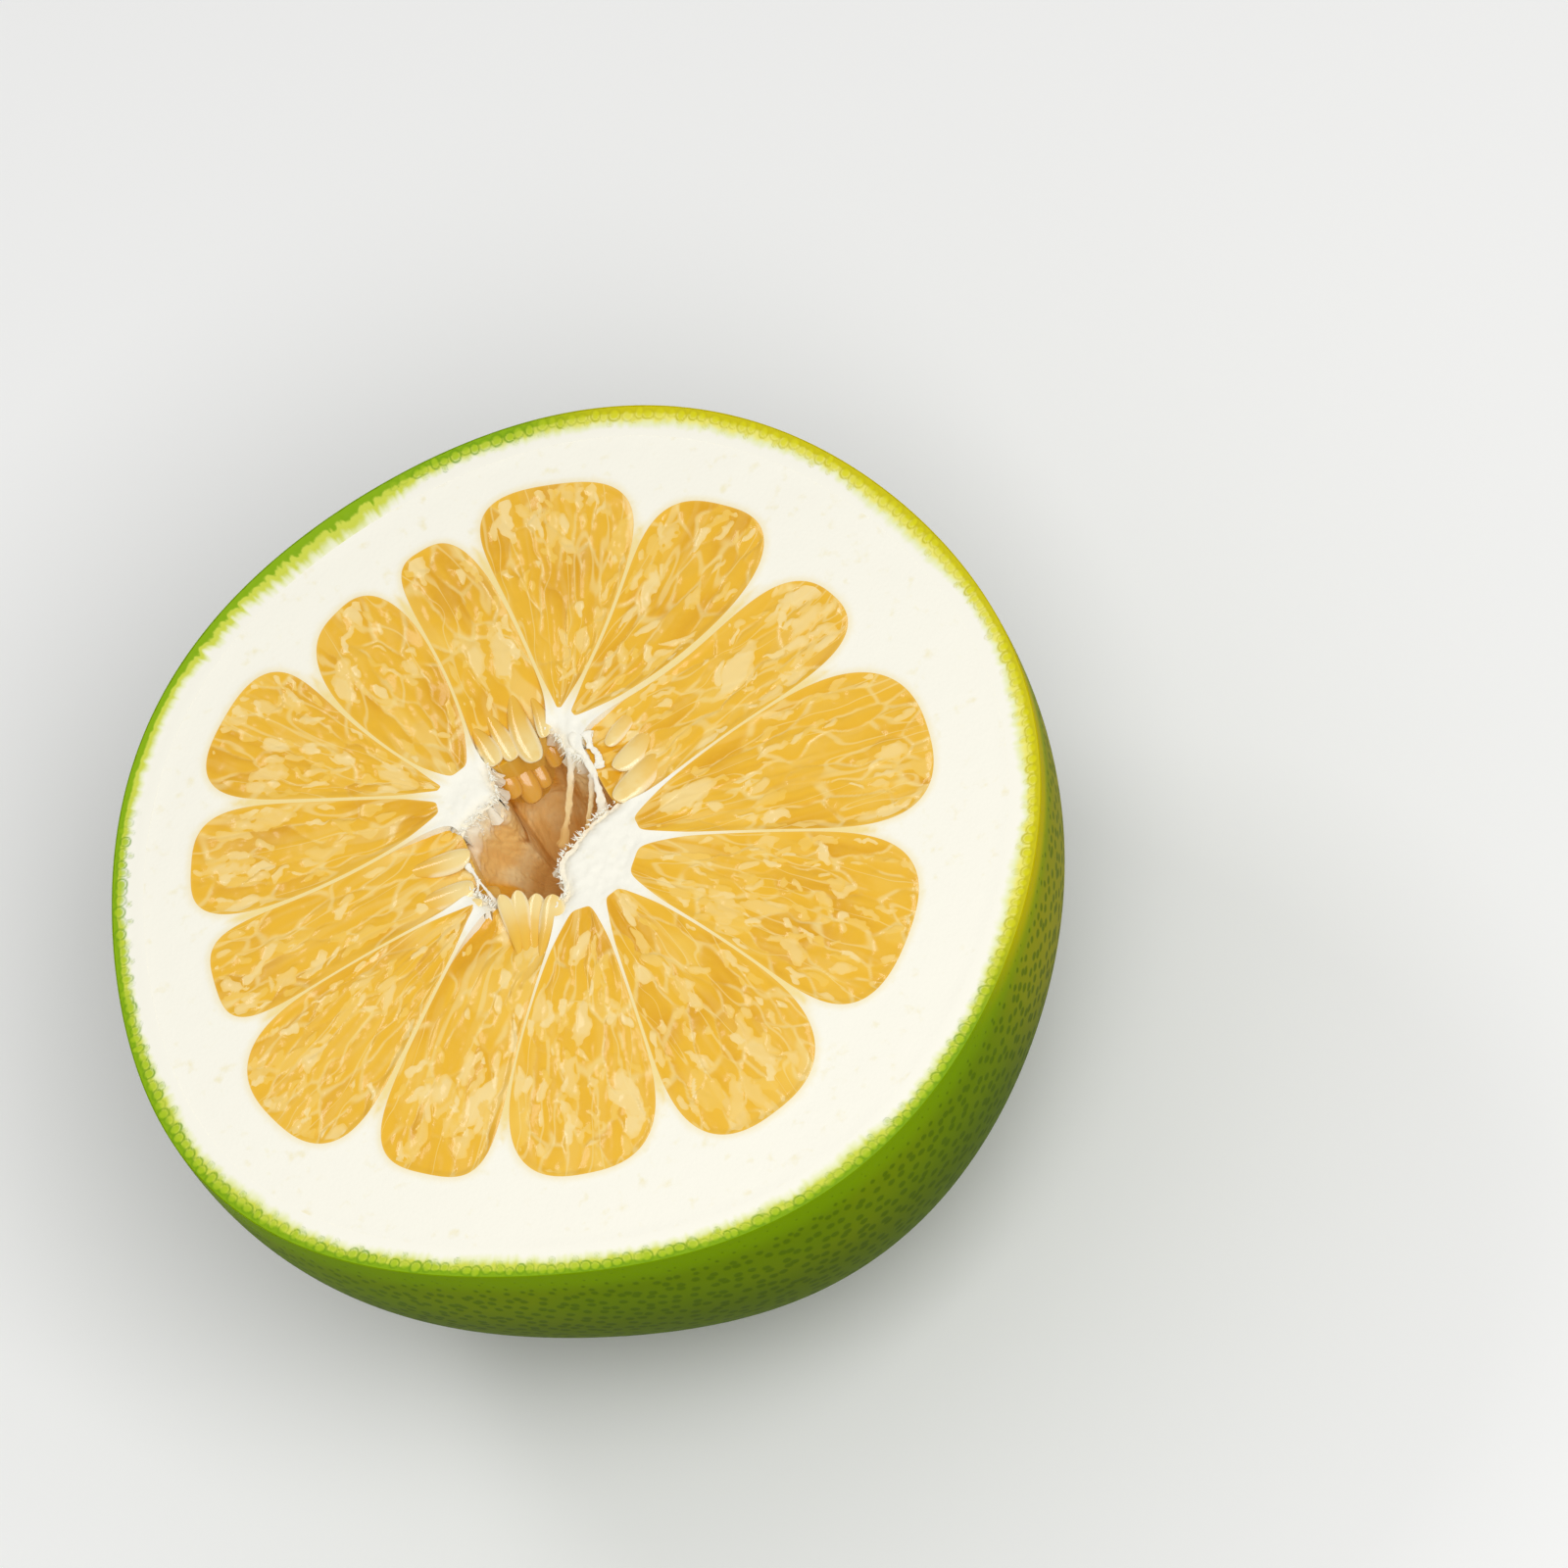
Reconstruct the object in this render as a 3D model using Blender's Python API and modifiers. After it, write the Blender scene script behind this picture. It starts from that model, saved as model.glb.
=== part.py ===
"""A pomelo cut in half across its middle, lying on its rind with the cut face up.

Metres, +Z up. The origin is at the middle of the small flat spot that the half rests on. The half is
a green skin, the white pith inside it, and fourteen segments of pulp. The pith is one piece: the
thick wall under the skin, the thin membranes between the segments, and the core, which has torn open
into a hollow. Each segment lies in its own pocket of the pith. Four of them are open to the hollow,
and loose juice sacs stand out of those over its edge.
"""

import math
from dataclasses import dataclass

import bmesh
import bpy
from mathutils import Vector

# The whole half
HEIGHT = 0.0755
FACE_RADIUS = 0.0730
POLE_DEPTH = 0.0769
BODY_POWER = 2.1
OUT_OF_ROUND = (
    (1, 0.0046, -122.1),
    (2, 0.0023, 161.4),
    (3, 0.0109, 176.3),
    (4, 0.0076, 74.5),
    (5, 0.0107, -89.5),
)
TURN_STEPS = 48
PROFILE_STEPS = 12

# The layers of the rind, and the gap that separate pieces keep
SKIN_THICKNESS = 0.0020
GAP = 0.0003

# The segments
HALF_MEMBRANE = 0.0007
TIP_MARGIN = 0.0012
OUTLINE_POINTS = 20
OUTER_POWER = 4.2
INNER_POWER = 4.0
DEPTH_RINGS = 6
DEEPEST_TURN = 83.0
DEPTH_SHARE = 0.94
LOWEST_SHARE = 0.14
FACE_RINGS = (0.68, 0.36)
SAC_RELIEF = 0.0007
SAC_WIDTH = 0.0036
SAC_LENGTH = 0.0110
CUTTER_RISE = 0.0030

# The hollow of the core
HOLLOW_DEPTH = 0.0300
HOLLOW_RINGS = ((0.0, 1.0), (0.35, 0.96), (0.65, 0.82), (0.88, 0.58), (1.0, 0.32))
HOLLOW_SMOOTHING = 2


@dataclass(frozen=True)
class Membrane:
    """The wall between two segments: its end at the core, its angle at the rind and its sideways bow."""

    core: tuple[float, float]
    angle: float
    bow: float


@dataclass(frozen=True)
class Sac:
    """A loose juice sac that stands out of a segment, from its root to its tip in plan."""

    segment: int
    root: tuple[float, float]
    tip: tuple[float, float]
    width: float


MEMBRANES = (
    Membrane((0.0095, 0.0000), 2.0, 0.0018),
    Membrane((0.0100, 0.0185), 27.0, -0.0035),
    Membrane((0.0095, 0.0210), 51.0, -0.0015),
    Membrane((0.0080, 0.0220), 79.3, -0.0008),
    Membrane((-0.0060, 0.0215), 93.2, -0.0020),
    Membrane((-0.0110, 0.0210), 110.5, 0.0020),
    Membrane((-0.0130, 0.0200), 137.3, 0.0000),
    Membrane((-0.0140, 0.0165), 157.5, 0.0022),
    Membrane((-0.0165, 0.0015), 177.3, -0.0010),
    Membrane((-0.0170, -0.0005), 206.8, -0.0004),
    Membrane((-0.0060, -0.0085), 229.6, -0.0016),
    Membrane((-0.0010, -0.0100), 259.4, 0.0003),
    Membrane((0.0035, -0.0095), 290.4, 0.0014),
    Membrane((0.0090, -0.0045), 326.6, 0.0006),
)
LOBE_RADII = (
    0.0540, 0.0585, 0.0612, 0.0580, 0.0577, 0.0615, 0.0592,
    0.0572, 0.0602, 0.0558, 0.0545, 0.0575, 0.0560, 0.0558,
)
HOLLOW_OUTLINE = (
    (-0.0132, 0.0120), (-0.0095, 0.0142), (-0.0055, 0.0150), (-0.0042, 0.0200),
    (0.0005, 0.0222), (0.0058, 0.0200), (0.0068, 0.0140), (0.0104, 0.0100),
    (0.0098, 0.0038), (0.0030, 0.0023), (-0.0030, -0.0005), (-0.0048, -0.0058),
    (-0.0095, -0.0064), (-0.0140, -0.0030), (-0.0152, 0.0010), (-0.0168, 0.0060),
)
HOLLOW_MIDDLE = (-0.0030, 0.0075)
LOOSE_SACS = (
    Sac(1, (0.0190, 0.0050), (0.0082, 0.0042), 0.0044),
    Sac(1, (0.0220, 0.0085), (0.0115, 0.0084), 0.0030),
    Sac(4, (0.0005, 0.0290), (-0.0022, 0.0182), 0.0036),
    Sac(4, (0.0040, 0.0280), (0.0021, 0.0165), 0.0034),
    Sac(8, (-0.0260, 0.0112), (-0.0138, 0.0092), 0.0032),
    Sac(8, (-0.0250, 0.0075), (-0.0160, 0.0062), 0.0036),
    Sac(10, (-0.0170, -0.0090), (-0.0134, 0.0000), 0.0028),
    Sac(10, (-0.0140, -0.0085), (-0.0104, -0.0016), 0.0026),
    Sac(10, (-0.0140, -0.0098), (-0.0060, -0.0056), 0.0034),
)
SAC_SIDES = 8
SAC_BANDS = 6
SAC_DROP = 0.0004

SKIN_COLOUR = "#8AA80F"
PITH_COLOUR = "#F6F3EA"
PULP_COLOUR = "#E6B43F"


def empty_scene() -> None:
    """Removes every object that the scene starts with."""
    for obj in list(bpy.data.objects):
        bpy.data.objects.remove(obj, do_unlink=True)


def new_collection(name: str) -> bpy.types.Collection:
    """A new collection in the scene."""
    collection = bpy.data.collections.new(name)
    bpy.context.scene.collection.children.link(collection)
    return collection


def linear_colour(hex_colour: str) -> tuple[float, float, float, float]:
    """The linear values of an sRGB hex colour."""
    channels = (int(hex_colour[i : i + 2], 16) / 255 for i in (1, 3, 5))
    red, green, blue = (c / 12.92 if c <= 0.04045 else ((c + 0.055) / 1.055) ** 2.4 for c in channels)
    return red, green, blue, 1.0


def new_material(name: str, hex_colour: str, roughness: float) -> bpy.types.Material:
    """A plain Principled material, not metallic."""
    material = bpy.data.materials.new(name)
    material.use_nodes = True
    shader = material.node_tree.nodes["Principled BSDF"]
    shader.inputs["Base Color"].default_value = linear_colour(hex_colour)
    shader.inputs["Roughness"].default_value = roughness
    shader.inputs["Metallic"].default_value = 0.0
    return material


def add_object(name: str, bm: bmesh.types.BMesh, collection: bpy.types.Collection) -> bpy.types.Object:
    """An object that holds the mesh as modelled, shaded smooth apart from its sharp edges."""
    mesh = bpy.data.meshes.new(name)
    bm.to_mesh(mesh)
    bm.free()
    mesh.shade_smooth()
    mesh.set_sharp_from_angle(angle=math.radians(40))
    obj = bpy.data.objects.new(name, mesh)
    collection.objects.link(obj)
    return obj


def as_cutter(obj: bpy.types.Object) -> None:
    """Keeps a cutter out of the render and shows it as wire."""
    obj.hide_render = True
    obj.display_type = "WIRE"


def applied(obj: bpy.types.Object) -> None:
    """Replaces an object's mesh by its modifiers' result."""
    graph = bpy.context.evaluated_depsgraph_get()
    mesh = bpy.data.meshes.new_from_object(obj.evaluated_get(graph))
    obj.modifiers.clear()
    obj.data = mesh
    mesh.name = obj.name


def signed_power(value: float, power: float) -> float:
    """A power that keeps the sign of its base."""
    return math.copysign(abs(value) ** power, value)


def in_plan(radius: float, degrees: float) -> Vector:
    """The plan point at a radius and an angle about the fruit's axis."""
    angle = math.radians(degrees)
    return Vector((radius * math.cos(angle), radius * math.sin(angle)))


def body_profile(inset: float) -> list[tuple[float, float]]:
    """(radius, height) down the side of the body, inset from its surface, then in to the axis."""
    radius = FACE_RADIUS - inset
    depth = POLE_DEPTH - inset
    share_at_flat = (HEIGHT - inset) / depth
    last = math.asin(share_at_flat ** (BODY_POWER / 2))
    points = []
    for step in range(PROFILE_STEPS + 1):
        turn = last * step / PROFILE_STEPS
        side = radius * math.cos(turn) ** (2 / BODY_POWER)
        points.append((side, HEIGHT - depth * math.sin(turn) ** (2 / BODY_POWER)))
    points.append((0.0, inset))
    return points


def turned(
    name: str, profile: list[tuple[float, float]], collection: bpy.types.Collection
) -> bpy.types.Object:
    """A body turned from its profile about Z, then set out of round as the fruit is."""
    bm = bmesh.new()
    verts = [bm.verts.new((radius, 0.0, height)) for radius, height in profile]
    for start, end in zip(verts, verts[1:]):
        bm.edges.new((start, end))
    obj = add_object(name, bm, collection)
    screw = obj.modifiers.new("turn", "SCREW")
    screw.axis = "Z"
    screw.steps = TURN_STEPS
    screw.render_steps = TURN_STEPS
    screw.use_merge_vertices = True
    screw.merge_threshold = 0.00001
    applied(obj)
    for vertex in obj.data.vertices:
        angle = math.atan2(vertex.co.y, vertex.co.x)
        swell = 1.0
        for turns, amount, phase in OUT_OF_ROUND:
            swell += amount * math.cos(turns * angle - math.radians(phase))
        vertex.co.x *= swell
        vertex.co.y *= swell
    return obj


def run_length(index: int) -> float:
    """The rough length of a segment's cut face, from the core to its lobe."""
    return LOBE_RADII[index] - Vector(MEMBRANES[index].core).length


def beside_membrane(membrane: Membrane, along: float, lobe: float, offset: float) -> Vector:
    """The plan point beside a membrane, at a share of the way from the core to a lobe's radius."""
    core = Vector(membrane.core)
    run = in_plan(lobe, membrane.angle) - core
    sideways = Vector((-run.y, run.x)).normalized()
    bow = membrane.bow * 4 * along * (1 - along)
    return core + run * along + sideways * (bow + offset)


def segment_point(index: int, along: float, across: float, out: float, growth: float) -> Vector:
    """The plan point of a segment: along 0 at its tip to 1 at the share out of its run, across -1 to 1."""
    lobe = LOBE_RADII[index]
    wall = HALF_MEMBRANE - growth
    margin = (TIP_MARGIN - growth) / run_length(index)
    end = out + growth / run_length(index)
    place = margin + (end - margin) * along
    right = beside_membrane(MEMBRANES[index], place, lobe, wall)
    left = beside_membrane(MEMBRANES[(index + 1) % len(MEMBRANES)], place, lobe, -wall)
    share = (1 + across) / 2
    straight = right.lerp(left, share)
    round_radius = right.length * (1 - share) + left.length * share
    return straight * (1 + place * (round_radius / straight.length - 1))


def segment_outline(index: int, out: float, growth: float, inward: float = 1.0) -> list[Vector]:
    """A segment's outline at one depth, counter-clockwise, or a ring inward of it on the cut face."""
    points = []
    for step in range(OUTLINE_POINTS):
        turn = math.tau * step / OUTLINE_POINTS
        power = 2 / (OUTER_POWER if math.sin(turn) > 0 else INNER_POWER)
        across = -signed_power(math.cos(turn), power) * inward
        ahead = signed_power(math.sin(turn), power) * inward
        points.append(segment_point(index, (1 + ahead) / 2, across, out, growth))
    return points


def sac_relief(index: int, point: Vector) -> float:
    """How far the cut sacs' faces lie below the cut, by a wave as long and wide as a sac."""
    first = MEMBRANES[index].angle
    second = MEMBRANES[(index + 1) % len(MEMBRANES)].angle
    middle = in_plan(1.0, first + ((second - first) % 360) / 2)
    along = point.dot(middle) / SAC_LENGTH
    across = (point.y * middle.x - point.x * middle.y) / SAC_WIDTH
    wave = math.cos(math.pi * across + index) * math.cos(math.pi * along + 2 * index)
    return SAC_RELIEF * (1 - wave) / 2


def depth_levels(index: int, growth: float) -> list[tuple[float, float]]:
    """(height, share out) of a segment's rings, from the cut face down along the pith's inner wall."""
    levels = []
    for ring in range(DEPTH_RINGS + 1):
        turn = math.radians(DEEPEST_TURN) * ring / DEPTH_RINGS
        depth = (DEPTH_SHARE * LOBE_RADII[index] + growth) * math.sin(turn)
        levels.append((HEIGHT - depth, LOWEST_SHARE + (1 - LOWEST_SHARE) * math.cos(turn)))
    return levels


def ring_of(bm: bmesh.types.BMesh, plan: list[Vector], height: float) -> list[bmesh.types.BMVert]:
    """New vertices along an outline at one height."""
    return [bm.verts.new((point.x, point.y, height)) for point in plan]


def lofted(bm: bmesh.types.BMesh, upper: list[bmesh.types.BMVert], lower: list[bmesh.types.BMVert]) -> None:
    """The band between two rings of like count, facing out, split alike on a segment and its pocket."""
    for here, after in zip(range(len(upper)), [*range(1, len(upper)), 0]):
        bm.faces.new((upper[here], lower[here], lower[after]))
        bm.faces.new((upper[here], lower[after], upper[after]))


def add_cut_face(bm: bmesh.types.BMesh, index: int, rim: list[bmesh.types.BMVert]) -> None:
    """The cut face of a segment: rings inward of its rim, set lower by the relief of its sacs."""
    outer = rim
    for inward in FACE_RINGS:
        plan = segment_outline(index, 1.0, 0.0, inward)
        inner = [bm.verts.new((p.x, p.y, HEIGHT - sac_relief(index, p))) for p in plan]
        lofted(bm, inner, outer)
        outer = inner
    middle = segment_point(index, 0.5, 0.0, 1.0, 0.0)
    hub = bm.verts.new((middle.x, middle.y, HEIGHT))
    for here, after in zip(outer, [*outer[1:], outer[0]]):
        bm.faces.new((here, after, hub))


def segment_mesh(index: int, growth: float) -> bmesh.types.BMesh:
    """A segment, or with some growth the pocket that it lies in, which runs past the cut face."""
    bm = bmesh.new()
    levels = depth_levels(index, growth)
    rings = [ring_of(bm, segment_outline(index, out, growth), height) for height, out in levels]
    if growth:
        top = segment_outline(index, 1.0, growth)
        rings.insert(0, ring_of(bm, top, HEIGHT + CUTTER_RISE))
        bm.faces.new(rings[0])
    else:
        add_cut_face(bm, index, rings[0])
    for upper, lower in zip(rings, rings[1:]):
        lofted(bm, upper, lower)
    bm.faces.new(reversed(rings[-1]))
    return bm


def sac_mesh(sac: Sac, growth: float) -> bmesh.types.BMesh:
    """A loose sac as a long rounded body just under the cut face, or the room that it needs."""
    root = Vector((*sac.root, 0.0))
    tip = Vector((*sac.tip, 0.0))
    length = (tip - root).length / 2 + growth
    half_width = sac.width / 2 + growth
    bm = bmesh.new()
    bmesh.ops.create_uvsphere(bm, u_segments=SAC_SIDES, v_segments=SAC_BANDS, radius=1.0)
    turn = Vector((0.0, 0.0, 1.0)).rotation_difference(tip - root).to_matrix()
    middle = (root + tip) / 2
    middle.z = HEIGHT - SAC_DROP - sac.width / 2
    for vertex in bm.verts:
        shaped = Vector((vertex.co.x * half_width, vertex.co.y * half_width, vertex.co.z * length))
        vertex.co = middle + turn @ shaped
    return bm


def smooth_loop(points: tuple[tuple[float, float], ...], steps: int) -> list[Vector]:
    """A closed Catmull-Rom curve through the points."""
    corners = [Vector(point) for point in points]
    count = len(corners)
    curve = []
    for i in range(count):
        a, b, c, d = (corners[(i + k) % count] for k in (-1, 0, 1, 2))
        for step in range(steps):
            t = step / steps
            bend = 2 * b + (c - a) * t + (2 * a - 5 * b + 4 * c - d) * t**2 + (3 * b - a - 3 * c + d) * t**3
            curve.append(bend / 2)
    return curve


def hollow_mesh() -> bmesh.types.BMesh:
    """The hollow of the core as a cutter: its outline at the cut face, drawn in towards its floor."""
    bm = bmesh.new()
    middle = Vector(HOLLOW_MIDDLE)
    outline = list(reversed(smooth_loop(HOLLOW_OUTLINE, HOLLOW_SMOOTHING)))
    rings = [ring_of(bm, outline, HEIGHT + CUTTER_RISE)]
    for depth, width in HOLLOW_RINGS:
        plan = [middle.lerp(point, width) for point in outline]
        rings.append(ring_of(bm, plan, HEIGHT - HOLLOW_DEPTH * depth))
    for upper, lower in zip(rings, rings[1:]):
        lofted(bm, upper, lower)
    bm.faces.new(rings[0])
    bm.faces.new(reversed(rings[-1]))
    return bm


def cut_by(obj: bpy.types.Object, cutters: bpy.types.Collection) -> None:
    """Cuts an object by a whole collection."""
    cut = obj.modifiers.new("cut", "BOOLEAN")
    cut.operation = "DIFFERENCE"
    cut.operand_type = "COLLECTION"
    cut.collection = cutters
    cut.solver = "EXACT"


def join_to(obj: bpy.types.Object, others: list[bpy.types.Object]) -> None:
    """Joins other objects to one by a union each, and removes them."""
    for other in others:
        join = obj.modifiers.new("join", "BOOLEAN")
        join.operation = "UNION"
        join.object = other
        join.solver = "EXACT"
    applied(obj)
    for other in others:
        bpy.data.objects.remove(other, do_unlink=True)


def build_skin(parts: bpy.types.Collection, material: bpy.types.Material) -> None:
    """The green skin: a thin cup, open at the cut face, with the flat spot under it."""
    inner = list(reversed(body_profile(SKIN_THICKNESS)))
    skin = turned("skin", inner + body_profile(0.0), parts)
    skin.data.materials.append(material)


def build_pith(
    parts: bpy.types.Collection, cutters: bpy.types.Collection, material: bpy.types.Material
) -> None:
    """The white pith: the body inside the skin, less the pockets and the hollow."""
    pith = turned("pith", [(0.0, HEIGHT), *body_profile(SKIN_THICKNESS + GAP)], parts)
    for index in range(len(MEMBRANES)):
        as_cutter(add_object(f"pocket_{index + 1:02d}", segment_mesh(index, GAP), cutters))
    for number, sac in enumerate(LOOSE_SACS, 1):
        as_cutter(add_object(f"sac_room_{number:02d}", sac_mesh(sac, GAP), cutters))
    as_cutter(add_object("core_hollow", hollow_mesh(), cutters))
    cut_by(pith, cutters)
    pith.data.materials.append(material)


def build_segments(parts: bpy.types.Collection, material: bpy.types.Material) -> None:
    """The fourteen segments of pulp, with their loose sacs joined to them."""
    for index in range(len(MEMBRANES)):
        segment = add_object(f"segment_{index + 1:02d}", segment_mesh(index, 0.0), parts)
        own = [sac for sac in LOOSE_SACS if sac.segment == index + 1]
        if own:
            join_to(segment, [add_object("loose_sac", sac_mesh(sac, 0.0), parts) for sac in own])
        segment.data.materials.append(material)


def main() -> None:
    """Builds the half in its own collection, with the cutters in another."""
    empty_scene()
    parts = new_collection("pomelo_half")
    cutters = new_collection("cutters")
    build_skin(parts, new_material("pomelo skin", SKIN_COLOUR, 0.45))
    build_pith(parts, cutters, new_material("pomelo pith", PITH_COLOUR, 0.9))
    build_segments(parts, new_material("pomelo pulp", PULP_COLOUR, 0.25))


main()
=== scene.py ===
"""The looks of a pomelo half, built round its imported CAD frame.

Metres, +Z up, the cut face up. The rind, the pith and the fourteen segments of pulp are modelled anew in
the places that the CAD solids hold, and stand for them. The torn core gets walls, strands and juice sacs.
"""

import itertools
import logging
import math
from contextlib import contextmanager
from dataclasses import dataclass
from enum import Enum
from typing import Iterator

import bpy
import numpy as np
from bpy.types import Material, NodeSocket, NodeTree, Object
from mathutils import Matrix, Vector, geometry, kdtree


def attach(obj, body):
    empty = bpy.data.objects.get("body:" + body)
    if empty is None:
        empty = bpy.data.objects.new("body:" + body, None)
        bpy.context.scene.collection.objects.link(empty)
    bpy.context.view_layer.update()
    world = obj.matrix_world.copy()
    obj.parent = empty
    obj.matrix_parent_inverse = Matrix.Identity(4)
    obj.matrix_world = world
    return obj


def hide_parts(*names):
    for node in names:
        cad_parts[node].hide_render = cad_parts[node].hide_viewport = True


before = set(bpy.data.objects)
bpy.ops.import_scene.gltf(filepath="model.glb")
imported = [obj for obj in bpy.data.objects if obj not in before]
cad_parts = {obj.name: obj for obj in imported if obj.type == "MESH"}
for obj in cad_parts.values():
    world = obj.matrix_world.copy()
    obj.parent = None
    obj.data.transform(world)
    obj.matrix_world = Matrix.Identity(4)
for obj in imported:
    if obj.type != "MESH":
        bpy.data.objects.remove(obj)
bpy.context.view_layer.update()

BODY = "root"
MM = 0.001
SHARP_ANGLE = math.radians(55)
CLEARANCE = 0.00002  # how far loose parts stay below the plane of the cut
Array = np.ndarray
log = logging.getLogger("pomelo")


class Slot(Enum):
    """The record's material slots."""

    SKIN = "skin"
    PITH = "pith"
    PULP = "pulp"


# Materials


def linear(hex_colour: str) -> tuple[float, float, float, float]:
    """Turns an sRGB hex colour to linear values.

    Args:
        hex_colour: The colour as #RRGGBB.

    Returns:
        Linear red, green and blue, with an alpha of 1.
    """
    channels = (int(hex_colour[i : i + 2], 16) / 255 for i in (1, 3, 5))
    red, green, blue = (c / 12.92 if c <= 0.04045 else ((c + 0.055) / 1.055) ** 2.4 for c in channels)
    return red, green, blue, 1.0


def add_node(
    tree: NodeTree, kind: str, inputs: dict | None = None, output: int | str = 0, **settings
) -> NodeSocket:
    """Adds a shader node with its settings and links.

    Args:
        tree: The node tree.
        kind: The node's type, without the word that all start with.
        inputs: Each input by name or number, with a value, or an output socket to link.
        output: Which of its outputs is wanted, by name or number.
        **settings: The node's own settings.

    Returns:
        The socket of that output.
    """
    made = tree.nodes.new("ShaderNode" + kind)
    for name, value in settings.items():
        setattr(made, name, value)
    for name, value in (inputs or {}).items():
        if isinstance(value, NodeSocket):
            tree.links.new(value, made.inputs[name])
        else:
            made.inputs[name].default_value = value
    return made.outputs[output]


def lay_colours(tree: NodeTree, base: str | NodeSocket, *layers: tuple) -> NodeSocket:
    """Lays colours one over another, as glazes.

    Args:
        tree: The node tree.
        base: The lowest colour, in hex or as a socket.
        *layers: For each glaze the socket that it goes by, its strongest share and its colour, in hex or
            as a socket. The values where it starts and is full follow where they aren't 0 and 1.

    Returns:
        The socket of the colour that they make together.
    """
    colour = linear(base) if isinstance(base, str) else base
    for value, most, glaze, *span in layers:
        start, full = span or (0.0, 1.0)
        limits = {0: value, 1: start, 2: full, 3: 0.0, 4: most}
        share = add_node(tree, "MapRange", limits, interpolation_type="SMOOTHSTEP")
        glaze = linear(glaze) if isinstance(glaze, str) else glaze
        colour = add_node(tree, "Mix", {0: share, 6: colour, 7: glaze}, 2, data_type="RGBA")
    return colour


def new_material(name: str, reads: str = "") -> tuple:
    """Starts a material with a Principled shader.

    Args:
        name: The material's name.
        reads: The names of the vertex values that it reads.

    Returns:
        The material, its node tree, the socket of the place in the piece in metres, and one for each value.
    """
    material = bpy.data.materials.new(name)
    material.use_nodes = True
    tree = material.node_tree
    place = add_node(tree, "TexCoord", output="Object")
    values = [add_node(tree, "Attribute", output="Fac", attribute_name=value) for value in reads.split()]
    return material, tree, place, *values


def finish_shader(tree: NodeTree, colour: NodeSocket, grain: tuple, **levels: float) -> None:
    """Links a colour and a fine grain to a material's shader and sets its constant levels.

    Args:
        tree: The node tree.
        colour: The colour's socket.
        grain: The socket of the grain's height, how high it is in metres, and its strength.
        **levels: The shader's inputs by name, with _ for a space.
    """
    shader = tree.nodes["Principled BSDF"]
    tree.links.new(colour, shader.inputs["Base Color"])
    bump = add_node(tree, "Bump", dict(zip(("Height", "Distance", "Strength"), grain)))
    tree.links.new(bump, shader.inputs["Normal"])
    for name, level in levels.items():
        shader.inputs[name.replace("_", " ")].default_value = level


# Meshes


class Noise:
    """Smooth noise from -1 to 1 on a fixed lattice, the same on every run."""

    SIZE = 4096
    STEPS = (73856093, 19349663, 83492791)

    def __init__(self, seed: int) -> None:
        """Fills the lattice's table from its seed."""
        self.table = np.random.default_rng(seed).uniform(-1, 1, self.SIZE)

    def at(self, *axes: Array) -> Array:
        """Reads the noise at coordinates in cells of the lattice.

        Args:
            *axes: An array for each axis.

        Returns:
            The noise at each point.
        """
        floors = [np.floor(axis).astype(np.int64) for axis in axes]
        parts = [axis - floor for axis, floor in zip(axes, floors)]
        eased = [part * part * (3 - 2 * part) for part in parts]
        total = np.zeros(len(axes[0]))
        for corner in itertools.product((0, 1), repeat=len(axes)):
            mixed = np.zeros(len(axes[0]), np.int64)
            weight = np.ones(len(axes[0]))
            for floor, share, side, step in zip(floors, eased, corner, self.STEPS):
                mixed ^= (floor + side) * step
                weight = weight * (share if side else 1 - share)
            total += weight * self.table[mixed % self.SIZE]
        return total

    def over(self, plan: Array, cell: float, shift: float = 0.0) -> Array:
        """Reads the noise over plan points, with cells of a size, shifted by some cells along x."""
        return self.at(plan[:, 0] / cell + shift, plan[:, 1] / cell)


def smooth_step(value: Array | float, low: float, high: float) -> Array:
    """Eases values from 0 at low to 1 at high."""
    share = np.clip((value - low) / (high - low), 0, 1)
    return share * share * (3 - 2 * share)


def points_of(obj: Object) -> Array:
    """Reads the vertices of an object's mesh, a row each."""
    flat = np.empty(len(obj.data.vertices) * 3)
    obj.data.vertices.foreach_get("co", flat)
    return flat.reshape(-1, 3)


def move_points(obj: Object, points: Array) -> None:
    """Puts the vertices of an object's mesh at new places."""
    obj.data.vertices.foreach_set("co", points.astype(np.float32).ravel())
    obj.data.update()


def keep_values(obj: Object, **values: Array | float) -> None:
    """Stores numbers for the materials to read.

    Args:
        obj: The object.
        **values: Under each name a number for each vertex, or one for all.
    """
    for name, numbers in values.items():
        layer = obj.data.attributes.new(name, "FLOAT", "POINT")
        layer.data.foreach_set("value", np.broadcast_to(numbers, len(layer.data)).astype(np.float32))


def value_of(obj: Object, name: str) -> Array:
    """Reads numbers that keep_values stored.

    Args:
        obj: The object.
        name: Their name.

    Returns:
        The number of each vertex.
    """
    values = np.empty(len(obj.data.vertices), np.float32)
    obj.data.attributes[name].data.foreach_get("value", values)
    return values.astype(float)


def deselect() -> None:
    """Leaves object mode with nothing selected."""
    if bpy.context.mode != "OBJECT":
        bpy.ops.object.mode_set(mode="OBJECT")
    bpy.ops.object.select_all(action="DESELECT")


def choose(*objects: Object) -> None:
    """Selects these objects alone and makes the first of them active."""
    deselect()
    for obj in objects:
        obj.select_set(True)
    bpy.context.view_layer.objects.active = objects[0]


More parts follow.
